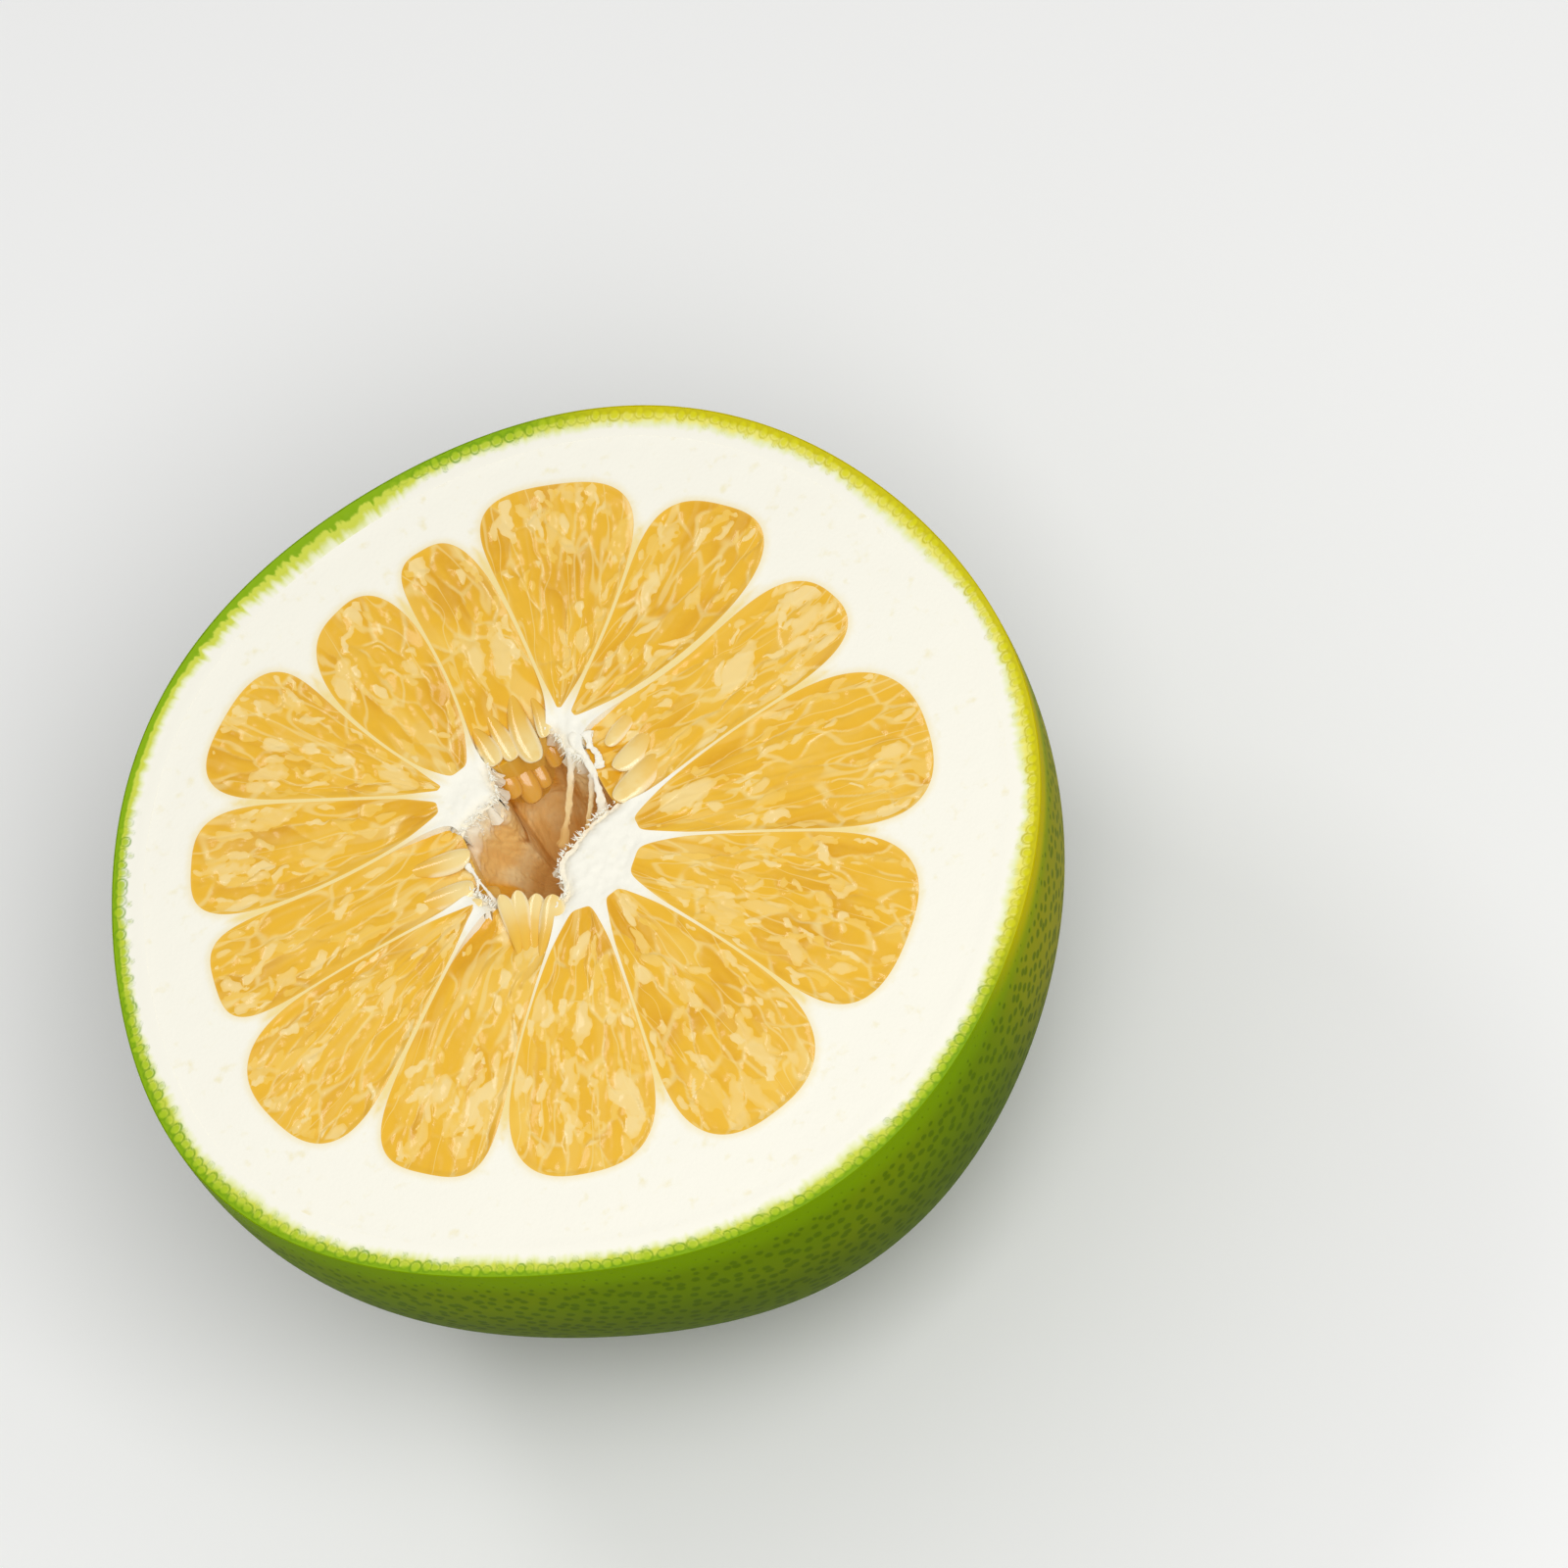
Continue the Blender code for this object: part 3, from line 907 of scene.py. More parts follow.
@dataclass
class CutRind:
    """The cut edge of the rind, a ring with its oil glands in one crowded row and a sparser one."""

    around: int = 1900
    rings: int = 20
    outer: float = 0.0001
    inner: float = 0.0050
    thickness: float = 0.0009
    pitch: float = 1.72
    # The middle of the far side in degrees, where the cut shows few glands.
    faint: float = 112.0

    def glands(self, angle: Array, inset: Array) -> tuple[Array, Array, Array]:
        """Lays out the glands.

        Args:
            angle: The angle of each vertex, in radians.
            inset: How far in from the rim each lies, in mm.

        Returns:
            How far inside a gland each vertex is, the outline round the glands, and the relief in mm.
        """
        rng = np.random.default_rng(12)
        radius = FRUIT.face_radius / MM
        body, outline, relief = np.zeros((3, len(angle)))
        count = int(math.tau * radius / self.pitch)
        # Each row's number of glands, their depth and its spread in mm, their strength and their radius.
        rows = ((count, 1.25, 0.30, 1.0, 0.84), (int(count * 0.45), 2.45, 0.35, 0.6, 0.52))
        for number, depth, spread, strength, size in rows:
            for place in range(number):
                turn = math.tau * (place + rng.uniform(-0.22, 0.22)) / number
                deep = depth + rng.uniform(-spread, spread)
                wide, tall = size * rng.uniform(0.70, 1.08), size * rng.uniform(0.80, 1.20)
                force = strength * rng.uniform(0.55, 1.0)
                force *= 1 - 0.85 * smooth_step(abs(math.degrees(turn) - self.faint), 34.0, 22.0)
                past = (angle - turn + math.pi) % math.tau - math.pi
                near = np.abs(past) * radius < 2.0
                away = np.hypot(past[near] * (radius - deep) / wide, (inset[near] - deep) / tall)
                for values, new in (
                    (body, smooth_step(away, 0.95, 0.55) * force),
                    (outline, np.exp(-(((away - 1.05) / 0.24) ** 2)) * force),
                    (relief, 0.10 * smooth_step(away, 1.0, 0.2) * force),
                ):
                    values[near] = np.maximum(values[near], new)
        return body, outline * (1 - 0.8 * body), relief

    def build(self) -> Object:
        """Builds and dresses the ring.

        Returns:
            The ring.
        """
        obj, across, ahead = add_grid(self.around, self.rings)
        angle = full_turn(across)
        inset = (self.outer + (self.inner - self.outer) * (1 - ahead) / 2) / MM
        gland, outline, relief = self.glands(angle, inset)
        degrees = np.degrees(angle)
        noise = Noise(13)
        x, y = np.cos(angle), np.sin(angle)
        # The green fades to white farther in on the far side, in streaks that the knife drew.
        wide = 0.92 + 0.45 * smooth_step(np.abs(degrees - 98), 16, 4) + 0.22 * noise.at(x * 6, y * 6)
        wide -= 0.30 * smooth_step(np.abs(degrees - 150), 36, 15)
        streaks = 0.30 + 0.5 * smooth_step(np.abs(degrees - 102), 26, 10)
        ragged = noise.at(x * 92, y * 92) + 0.6 * noise.at(x * 200, y * 200)
        depth = (inset - 0.5 + streaks * ragged * smooth_step(inset, 0.5, 2.0)) / wide
        keep_values(obj, depth=depth, gland=gland, outline=outline, warm=sunny_side(degrees))
        points = FRUIT.around(FRUIT.face_radius - inset * MM, angle, 0.0)
        lumps = 0.05 * noise.over(points / MM, 0.8) * smooth_step(inset, 4.0, 2.0)
        # The cut face sinks a little in from the rim, in mm, and rises again to the pith.
        sink = 0.02 + 0.10 * smooth_step(inset, 0.1, 0.5) + 0.10 * smooth_step(inset, 0.4, 1.0)
        sink -= 0.10 * smooth_step(inset, 2.6, 4.4)
        points[:, 2] = FRUIT.height - (sink - np.minimum(relief + lumps, sink - 0.01)) * MM
        points[:, 2] += 0.000008 * smooth_step(inset, 4.2, 4.5)
        move_points(obj, points)
        merge(obj, 1e-7)
        new = extrude_border(obj)
        points = points_of(obj)
        points[new, 2] -= self.thickness
        move_points(obj, points)
        close_border(obj, bridge=True)
        return finish_piece(obj, "rind_cut", ["skin"], CutRindFinish().build())


# The pith


@dataclass
class Pith:
    """The white pith on the cut face, with the segments' membranes and the core, and the bowl under it."""

    inset: float = 0.0046
    pocket_growth: float = 0.00050
    face_drop: float = 0.00012
    plate_thickness: float = 0.0030
    grain: float = 0.0009
    core_grain: float = 0.00045
    core_middle: tuple[float, float] = (-0.002, 0.006)
    core_reach: float = 0.022
    least_gap: float = 0.00022
    ragged: float = 0.0004
    rim_points: int = 520
    pocket_points: int = 240
    hollow_points: int = 300
    bowl_insets: tuple[float, float] = (0.0024, 0.0150)

    def loops(self) -> list[Array]:
        """Traces the outlines on the cut face.

        Returns:
            The rim, the hollow with its torn edge, and then the fourteen pockets.
        """
        angle = np.arange(self.rim_points) / self.rim_points * math.tau
        rim = FRUIT.around(FRUIT.face_radius - self.inset, angle, 0.0)[:, :2]
        hollow = FRUIT.hollow_loop(np.arange(self.hollow_points) / self.hollow_points)
        outward = hollow - np.array(FRUIT.hollow_middle)
        outward /= np.hypot(*outward.T)[:, None]
        noise = Noise(21)
        rough = noise.over(hollow, 0.0011) + 0.6 * noise.over(hollow, 0.00045)
        pockets = [
            FRUIT.segment_loop(index, self.pocket_growth, self.pocket_points)
            for index in range(len(MEMBRANES))
        ]
        return [rim, hollow + outward * (rough * self.ragged)[:, None], *pockets]

    @staticmethod
    def is_white(plan: Array, loops: list[Array]) -> Array:
        """Whether each plan point lies within the rim, and outside the hollow and the pockets."""
        return inside(plan, loops[0]) & ~np.any([inside(plan, loop) for loop in loops[1:]], axis=0)

    def filling(self, loops: list[Array]) -> Array:
        """Scatters points over the white parts of the cut face, closer together round the core.

        Args:
            loops: The outlines on the cut face.

        Returns:
            The plan points.
        """
        rng = np.random.default_rng(31)
        reach = FRUIT.face_radius * 1.05
        wide = np.arange(-reach, reach, self.grain)
        close = np.arange(-0.026, 0.030, self.core_grain)
        grids = []
        for line, in_core in ((wide, False), (close, True)):
            spots = np.stack(np.meshgrid(line, line), axis=-1).reshape(-1, 2)
            spots = spots + rng.uniform(-0.3, 0.3, spots.shape) * (line[1] - line[0])
            away = np.hypot(*(spots - self.core_middle).T)
            grids.append(spots[(away <= self.core_reach) == in_core])
        spots = np.concatenate(grids)
        spots = spots[self.is_white(spots, loops)]
        return spots[gaps(np.concatenate(loops), spots) > self.least_gap]

    def face(self, loops: list[Array], material: Material) -> Object:
        """Makes the cut face of the pith, a plate with a hole for each pocket and for the hollow.

        Its outlines have no primitive, so its sheet is a triangulation between them.

        Args:
            loops: The outlines on the cut face.
            material: The pith's material.

        Returns:
            The plate.
        """
        points = np.concatenate([*loops, self.filling(loops)])
        edges, start = [], 0
        for loop in loops:
            edges += [(start + i, start + (i + 1) % len(loop)) for i in range(len(loop))]
            start += len(loop)
        verts, _, faces, *_ = geometry.delaunay_2d_cdt([Vector(p) for p in points], edges, [], 0, 1e-7)
        plan = np.array([(v.x, v.y) for v in verts])
        faces = np.array([face for face in faces if len(face) == 3])
        faces = faces[self.is_white(plan[faces].mean(axis=1), loops)]
        # All in mm: the sponge's slow and fine sinks, its rougher core, and the torn edge of the hollow.
        mm, noise = plan / MM, Noise(41)
        near, next_near = np.sort([gaps(loop, plan) for loop in loops[2:]], axis=0)[:2] / MM
        reach = np.hypot(*mm.T)
        inset = FRUIT.face_radius / MM * FRUIT.swell(np.arctan2(*mm.T[::-1])) - reach
        away = smooth_step(near, 0.0, 1.6) * smooth_step(inset, 4.6, 6.5)
        height = -0.08 * (1 + noise.over(mm, 7)) * away - 0.03 * (1 + noise.over(mm, 1.3)) * away
        in_core = smooth_step(np.hypot(*(mm - np.array(self.core_middle) / MM).T), 24, 19)
        height -= in_core * away * 0.16 * (1 + noise.over(mm, 0.7))
        gap = gaps(loops[1], plan) / MM
        torn = smooth_step(gap, 2.6, 0.0)
        height -= 1.15 * torn**2 + 0.25 * torn * (1 + noise.over(mm, 0.5)) * smooth_step(gap, 0.0, 0.5)
        top = FRUIT.height - self.face_drop + height * MM
        mesh = bpy.data.meshes.new("pith_face")
        mesh.from_pydata(np.c_[plan, top].tolist(), [], faces.tolist())
        obj = bpy.data.objects.new("pith_face", mesh)
        bpy.context.scene.collection.objects.link(obj)
        keep_values(
            obj, near=smooth_step(near, 1.5, 0.0) * (0.85 - 0.75 * in_core),
            strip=smooth_step(next_near, 2.2, 0.7) * smooth_step(reach, 17, 34), deep=0.32 * torn**2,
        )
        with editing(obj):
            bpy.ops.mesh.delete_loose()
        point_faces(obj)
        if obj.data.polygons[0].normal.z < 0:
            obj.data.flip_normals()
        thicken(obj, self.plate_thickness)
        return finish_piece(obj, "pith_face", ["pith"], material)

    def bowl(self, material: Material) -> Object:
        """Makes the hidden wall of pith between the skin and the pulp, a turned bowl.

        Args:
            material: The pith's material.

        Returns:
            The bowl.
        """
        obj, across, ahead = add_grid(96, 28)
        share = (1 - ahead) / 2
        down = 0.05 + 0.90 * np.where(share < 0.5, 1 - 2 * share, 2 * share - 1)
        outer, inner = (FRUIT.meridian(inset, down) for inset in self.bowl_insets)
        radius, height = np.where(share < 0.5, outer, inner)
        move_points(obj, FRUIT.around(radius, (across + 1) * math.pi, height))
        merge(obj, 1e-6)
        close_border(obj, bridge=True)
        return finish_piece(obj, "pith_bowl", ["pith"], material)


@dataclass
class CoreWall:
    """The wall of the torn hollow: fuzzy pith that turns from white to tan, and pulp at its open ends."""

    around: int = 300
    rings: int = 76
    thickness: float = 0.0008
    # The shares of the depth, and how wide the hollow is there as a share of its outline.
    widths: tuple = ((0.0, 0.35, 0.65, 0.88, 1.0), (1.0, 0.96, 0.84, 0.60, 0.30))
    # How far the wall leans in on the -X side, and how deep it starts, also where pulp covers it.
    slope: float = 0.42
    start: float = 0.0014
    covered_start: float = 0.0032

    def build(self, rim: Array, pockets: list[Array], material: Material) -> Object:
        """Builds and dresses the wall.

        Args:
            rim: The ragged outline that the pith's face ends at.
            pockets: The outlines of the segments' pockets, where the wall ends below the pulp.
            material: The pith's material.

        Returns:
            The wall.
        """
        obj, across, ahead = add_grid(self.around, self.rings)
        turn, down = (across + 1) / 2, (1 - ahead) / 2
        depth = down * FRUIT.hollow_depth / MM
        number = np.rint(turn * self.around).astype(int) % self.around
        middle, plain = np.array(FRUIT.hollow_middle), FRUIT.hollow_loop(turn)
        keep = smooth_step(depth, 0.0, 2.5)[:, None]
        loop = rim[number] * (1 - keep) + plain * keep
        angle = np.degrees(np.arctan2(*(plain - middle).T[::-1])) % 360
        sloped = self.slope * smooth_step(np.abs(angle - 158), 62, 25)
        spread = np.interp(down, *self.widths) * (1 - sloped * smooth_step(down, 0.0, 0.75))
        noise = Noise(51)
        # Broad lumps, fibres down the wall and fuzz push the wall in and out, in mm.
        x, y = plain.T / MM
        slow = noise.at(x / 6, y / 6, depth / 9)
        fibre = noise.at(x / 1.2, y / 1.2, depth / 5)
        fuzz = noise.at(x / 0.6, y / 0.6, depth / 0.6)
        push = (1.1 * slow + 0.45 * fibre + 0.22 * fuzz) * smooth_step(depth, 0.0, 3.0)
        outward = plain - middle
        outward /= np.hypot(*outward.T)[:, None]
        plan = middle + (loop - middle) * spread[:, None] + outward * (push * MM * spread)[:, None]
        covered = np.any([inside(rim, pocket) for pocket in pockets], axis=0).astype(float)
        covered = np.max([np.roll(covered, step) for step in range(-3, 4)], axis=0)
        covered = np.mean([np.roll(covered, step) for step in range(-2, 3)], axis=0)
        start = self.start + self.covered_start * covered[number]
        move_points(obj, np.c_[plan, FRUIT.height - start - down * (FRUIT.hollow_depth - start)])
        open_ends = smooth_step(np.abs(angle - 81), 24, 15) + smooth_step(np.abs(angle - 208), 38, 28)
        ragged = depth + 2 * noise.at(x / 2.0 + 5, y / 2.0, depth / 3.5)
        # dark paints brown shade into a slit and towards the bottom of the hollow.
        slit = np.exp(-(((x + 6) / 2.4) ** 2) - ((depth - 10.5 - 1.5 * fibre) / 1.0) ** 2) * (y > 5)
        ends = np.clip(open_ends, 0, 1) * smooth_step(ragged, 0.5, 3.0) * smooth_step(ragged, 15.0, 9.5)
        keep_values(
            obj, deep=0.3 + 0.7 * smooth_step(ragged + fuzz, -0.5, 6.5), pulpy=ends * 0.9,
            dark=0.35 * smooth_step(depth + 3 * slow, 15, 24) + 0.8 * slit,
        )
        merge(obj, 1e-6)
        with editing(obj):
            bpy.ops.mesh.select_mode(type="VERT")
            bpy.ops.mesh.select_all(action="DESELECT")
        low = points_of(obj)[:, 2] < FRUIT.height - FRUIT.hollow_depth + 0.00001
        obj.data.vertices.foreach_set("select", low)
        bpy.ops.object.mode_set(mode="EDIT")
        bpy.ops.mesh.edge_face_add()
        point_faces(obj, inwards=True)
        thicken(obj, self.thickness)
        return finish_piece(obj, "core_wall", ["pith"], material)


# The pulp


@dataclass
class Cells:
    """Long cells laid along the segment, such as cut juice sacs or the facets of their torn flesh."""

    length: float
    width: float
    turn: float
    closeness: float = 0.72

    def scatter(self, rng: np.random.Generator, spots: Array, heading: Array) -> None:
        """Chooses the cells' middles and headings.

        Args:
            rng: The source of random numbers.
            spots: Plan points to choose among.
            heading: The direction of the pulp at each, a unit vector.
        """
        chosen: list[int] = []
        for number in rng.permutation(len(spots)):
            away = spots[chosen] - spots[number] if chosen else np.empty((0, 2))
            ahead = away @ heading[number] / self.length
            aside = away @ np.array((-heading[number][1], heading[number][0])) / self.width
            if not chosen or np.hypot(ahead, aside).min() > self.closeness:
                chosen.append(number)
        angle = rng.normal(0, self.turn, len(chosen))
        base = np.arctan2(heading[chosen, 1], heading[chosen, 0]) + angle
        self.middle = spots[chosen]
        self.ahead = np.c_[np.cos(base), np.sin(base)]
        self.aside = np.c_[-np.sin(base), np.cos(base)]
        self.size = rng.uniform(0.75, 1.3, (len(chosen), 2))

    def measure(self, plan: Array, reach: Array) -> tuple[Array, Array, Array]:
        """Finds the cell that each point is in.

        Args:
            plan: The plan points.
            reach: How far each cell reaches, in its own sizes.

        Returns:
            Each point's cell, how far inside that cell's reach it is, and its distance from the next cell
            in metres.
        """
        best = np.full(len(plan), -1e9)
        second = best.copy()
        owner = np.zeros(len(plan), int)
        for number, middle in enumerate(self.middle):
            away = plan - middle
            ahead = away @ self.ahead[number] / (self.length * self.size[number, 0])
            wide = self.width * self.size[number, 1] * (1 + 0.35 * np.clip(ahead, -1, 1))
            within = reach[number] - np.hypot(ahead, away @ self.aside[number] / wide)
            closer = within > best
            second = np.where(closer, best, np.maximum(second, within))
            best = np.where(closer, within, best)
            owner[closer] = number
        return owner, best, (best - second) * self.width / 2


@dataclass
class PulpSegment:
    """One segment's pulp: its cut face of wet sacs and torn facets, and its smooth skin below."""

    index: int
    spacing: float = 0.00027
    growth: float = 0.00056
    face_drop: float = 0.00012
    torn_drop: float = 1.3
    depth_rings: int = 6
    deepest_turn: float = 83.0

    def length(self) -> float:
        """The segment's length on the cut face."""
        return LOBE_RADII[self.index] - math.hypot(*MEMBRANES[self.index].core)

    def width(self) -> float:
        """The segment's width at its lobe."""
        gap = (MEMBRANES[(self.index + 1) % len(MEMBRANES)].angle - MEMBRANES[self.index].angle) % 360
        return LOBE_RADII[self.index] * math.radians(gap)

    def plan(self, along: Array, across: Array, out: float = 1.0) -> Array:
        """The plan points of the segment's own coordinates, where it reaches a share of its length."""
        return FRUIT.segment_plan(self.index, along, across, out, self.growth)

    def border_distance(self, plan: Array) -> Array:
        """Measures how far plan points lie from the segment's outline.

        Args:
            plan: The plan points.

        Returns:
            The distances in metres.
        """
        outline = FRUIT.segment_loop(self.index, self.growth, 400)
        least = np.full(len(plan), 1e9)
        for start, end in zip(outline, np.roll(outline, -1, axis=0)):
            run = end - start
            share = np.clip(((plan - start) @ run) / max(run @ run, 1e-18), 0, 1)
            away = plan - start - share[:, None] * run
            least = np.minimum(least, (away**2).sum(axis=1))
        return np.sqrt(least)

    def shape_face(self, obj: Object, along: Array, across: Array) -> None:
        """Gives the cut face its relief, and stores what its material reads.

        Args:
            obj: The grid.
            along: The along values of its vertices.
            across: Their across values.
        """
        rng = np.random.default_rng(100 + self.index)
        noise = Noise(200 + self.index)
        plan = self.plan(along, across)
        heading = self.plan(along + 0.02, across) - plan
        heading /= np.hypot(*heading.T)[:, None]
        mm = plan / MM
        u = along * self.length() / MM
        v = across * self.width() * (0.3 + 0.7 * along) / 2 / MM

        # The cut sacs are shorter and broader towards the lobe.
        pick = rng.choice(len(plan), 1800, replace=False)
        pick = pick[(np.abs(across[pick]) < 0.96) & (along[pick] > 0.03)]
        sacs = Cells(0.0125, 0.0038, 0.10)
        sacs.scatter(rng, plan[pick], heading[pick])
        lobe = LOBE_RADII[self.index]
        outer = smooth_step(np.hypot(*sacs.middle.T), lobe - 0.012, lobe)
        sacs.size *= 1 + outer[:, None] * (-0.45, 0.45)
        # The broad and small cells are facets of torn flesh; some of them carry painted highlights.
        pick = rng.choice(len(plan), 4200, replace=False)
        broad, small = Cells(0.0060, 0.0022, 0.24), Cells(0.0030, 0.0011, 0.35)
        broad.scatter(rng, plan[pick], heading[pick])
        small.scatter(rng, plan[pick], heading[pick])

        def warped(slow: float, quick: float) -> Array:
            """The plan with its points shifted by noise, slow and quick."""
            shifts = [slow * noise.over(mm, 3.2, at) + quick * noise.over(mm, 0.9, at) for at in (0, 40)]
            return plan + np.c_[shifts[0], shifts[1]] * MM

        spots = warped(0.8, 0.08)
        count = len(sacs.middle)
        sac, sac_share, edge = sacs.measure(spots, np.zeros(count))
        sideways = ((spots - sacs.middle[sac]) * sacs.aside[sac]).sum(axis=1) / sacs.width
        edge = edge / MM
        # Painted highlights: pale patches on some facets that stand for light reflected by wet juice; gleam
        # is how pale each is.
        glint, gleam = np.full(len(plan), -1.0), np.zeros(len(plan))
        for cells, least in ((broad, 0.22), (small, 0.30)):
            chances = 0.20 + 0.22 * noise.at(*(cells.middle.T / MM / 9 + 60))
            lit = rng.uniform(0, 1, len(cells.middle)) < chances
            reach = np.where(lit, rng.uniform(least, 0.68, len(lit)), -9.0)
            owner, within, _ = cells.measure(warped(0.7, 0.34), reach)
            gleam = np.where(within > glint, rng.uniform(0.10, 1.0, len(lit))[owner], gleam)
            glint = np.maximum(glint, within)
        streak = noise.at(u / 6.5, v / 0.8 + 0.5 * noise.at(u / 4 + 20, v / 2))
        border = self.border_distance(plan) / MM

        # The relief in mm, which flattens out at the membranes and sags where the segment is torn open.
        height = rng.uniform(-0.18, 0.0, count)[sac] - 0.20 * np.minimum(-sac_share, 1.3) ** 2
        height -= 0.12 * np.exp(-edge / 0.35)
        height += 0.10 * smooth_step(glint, -0.15, 0.10) + 0.05 * noise.over(mm, 1.1)
        height += 0.12 * noise.over(mm, 3.4) + 0.06 * streak
        height -= height.max()
        height = np.maximum(height, -0.9) * (smooth_step(border, 0.0, 1.4) * 0.94 + 0.06)
        height -= self.torn_drop * smooth_step(u, 11.0, 3.5) * (INNER_REACH[self.index] > 0.001)
        move_points(obj, np.c_[plan, FRUIT.height - self.face_drop + (height - 0.03) * MM])

        # The painted highlights weaken towards their rims, fray, and fade out near the segment's border.
        gleam = gleam * (0.55 + 0.45 * smooth_step(glint, 0.0, 0.22))
        glint -= 0.12 * noise.over(mm, 0.8, 70) + 0.5 * smooth_step(border, 0.9, 0.3)
        veins = smooth_step(noise.over(mm, 3.0, 90), -0.5, 0.3)
        # tone is each sac's own random tone with slow noise and streaks, plus painted light and shade: one
        # side of each sac lighter and the sacs' borders darker. It also darkens towards the segment's inner
        # tip.
        tone = 0.52 + rng.uniform(-0.20, 0.18, count)[sac] + 0.25 * noise.over(mm, 6)
        tone += 0.09 * streak + 0.22 * np.clip(sideways, -1, 1)
        tone -= 0.08 * np.exp(-edge / 0.5) + 0.22 * smooth_step(u, 14, 0)
        veil = smooth_step(noise.at(u / 9 + 51, v / 1.0 + 0.5 * noise.at(u / 5 + 9, v / 2)), 0.15, 0.6)
        keep_values(
            obj, tone=np.clip(tone, 0, 1), glint=np.clip(glint, -0.5, 0.5), gleam=gleam,
            veil=veil * (0.35 + 0.65 * smooth_step(u, 16, 3)),
            strand=noise.at(u / 12 + 11, v / 1.8 + 0.5 * noise.at(u / 5 + 7, v / 2)),
            wall=np.exp(-((edge / 0.17) ** 2)) * (0.25 + 0.75 * veins), rim=0.6 * np.exp(-border / 0.28),
        )

    def build(self, material: Material) -> Object:
        """Builds and dresses the segment: its cut face, then ring by ring down its skin.

        Args:
            material: The pulp's material.

        Returns:
            The segment.
        """
        obj, *flat = add_grid(int(self.width() * 0.9 / self.spacing), int(self.length() / self.spacing))
        along, across = FRUIT.squircle(np.c_[flat[0], flat[1]], self.index)
        keep_values(obj, along=along, across=across)
        self.shape_face(obj, along, across)
        for ring in range(1, self.depth_rings + 1):
            new = extrude_border(obj)
            turn = math.radians(self.deepest_turn) * ring / self.depth_rings
            out = FRUIT.lowest_share + (1 - FRUIT.lowest_share) * math.cos(turn)
            depth = FRUIT.depth_share * LOBE_RADII[self.index] * math.sin(turn)
            plan = self.plan(value_of(obj, "along")[new], value_of(obj, "across")[new], out)
            points = points_of(obj)
            points[new] = np.c_[plan, np.full(len(new), FRUIT.height - depth)]
            move_points(obj, points)
        close_border(obj)
        name = f"{self.index + 1:02d}"
        return finish_piece(obj, "pulp_" + name, ["segment_" + name], material)


# Loose sacs and strands


@dataclass(frozen=True)
class Sac:
    """A whole juice sac in plan, in mm from the axis, and how deep its root and its tip lie."""

    root: tuple[float, float]
    tip: tuple[float, float]
    width: float
    depths: tuple[float, float] = (1.1, 0.05)


SACS = (
    Sac((22.5, 7.6), (9.0, 3.2), 5.6),
    Sac((23.0, 12.6), (11.4, 8.0), 5.2, (1.3, 0.25)),
    Sac((21.5, 15.6), (12.2, 12.2), 3.4, (1.3, 0.3)),
    Sac((-3.6, 28.0), (-3.2, 19.4), 4.0),
    Sac((-0.6, 29.0), (-0.7, 18.8), 3.8, (1.3, 0.5)),
    Sac((4.2, 29.5), (2.0, 16.2), 5.0),
    Sac((6.4, 27.0), (5.0, 19.2), 3.0, (1.3, 0.4)),
    Sac((-24.0, 12.4), (-13.6, 8.6), 4.8),
    Sac((-26.0, 7.0), (-15.6, 3.6), 5.0, (1.3, 0.25)),
    Sac((-23.0, 1.6), (-15.8, 0.6), 3.0, (1.3, 0.4)),
    Sac((-15.4, -10.8), (-13.0, -0.4), 3.4),
    Sac((-14.3, -11.4), (-10.6, -1.2), 3.8, (1.3, 0.2)),
    Sac((-13.4, -12.0), (-8.4, -3.0), 4.2, (1.3, 0.9)),
    Sac((-12.8, -12.8), (-6.3, -5.2), 5.4),
    Sac((-3.8, 24.0), (-3.2, 16.6), 3.6, (2.0, 6.6)),
    Sac((-0.8, 24.6), (-1.2, 15.2), 4.4, (2.4, 8.2)),
    Sac((1.8, 24.6), (1.4, 16.8), 3.6, (2.0, 9.0)),
    Sac((4.6, 24.4), (4.4, 17.2), 3.4, (2.0, 6.2)),
    Sac((-15.5, 4.0), (-12.8, 3.2), 3.6, (2.6, 5.2)),
    Sac((-15.4, 0.6), (-12.4, 0.6), 3.6, (2.4, 5.4)),
    Sac((-12.4, -4.6), (-10.0, -1.6), 3.6, (2.6, 6.0)),
)


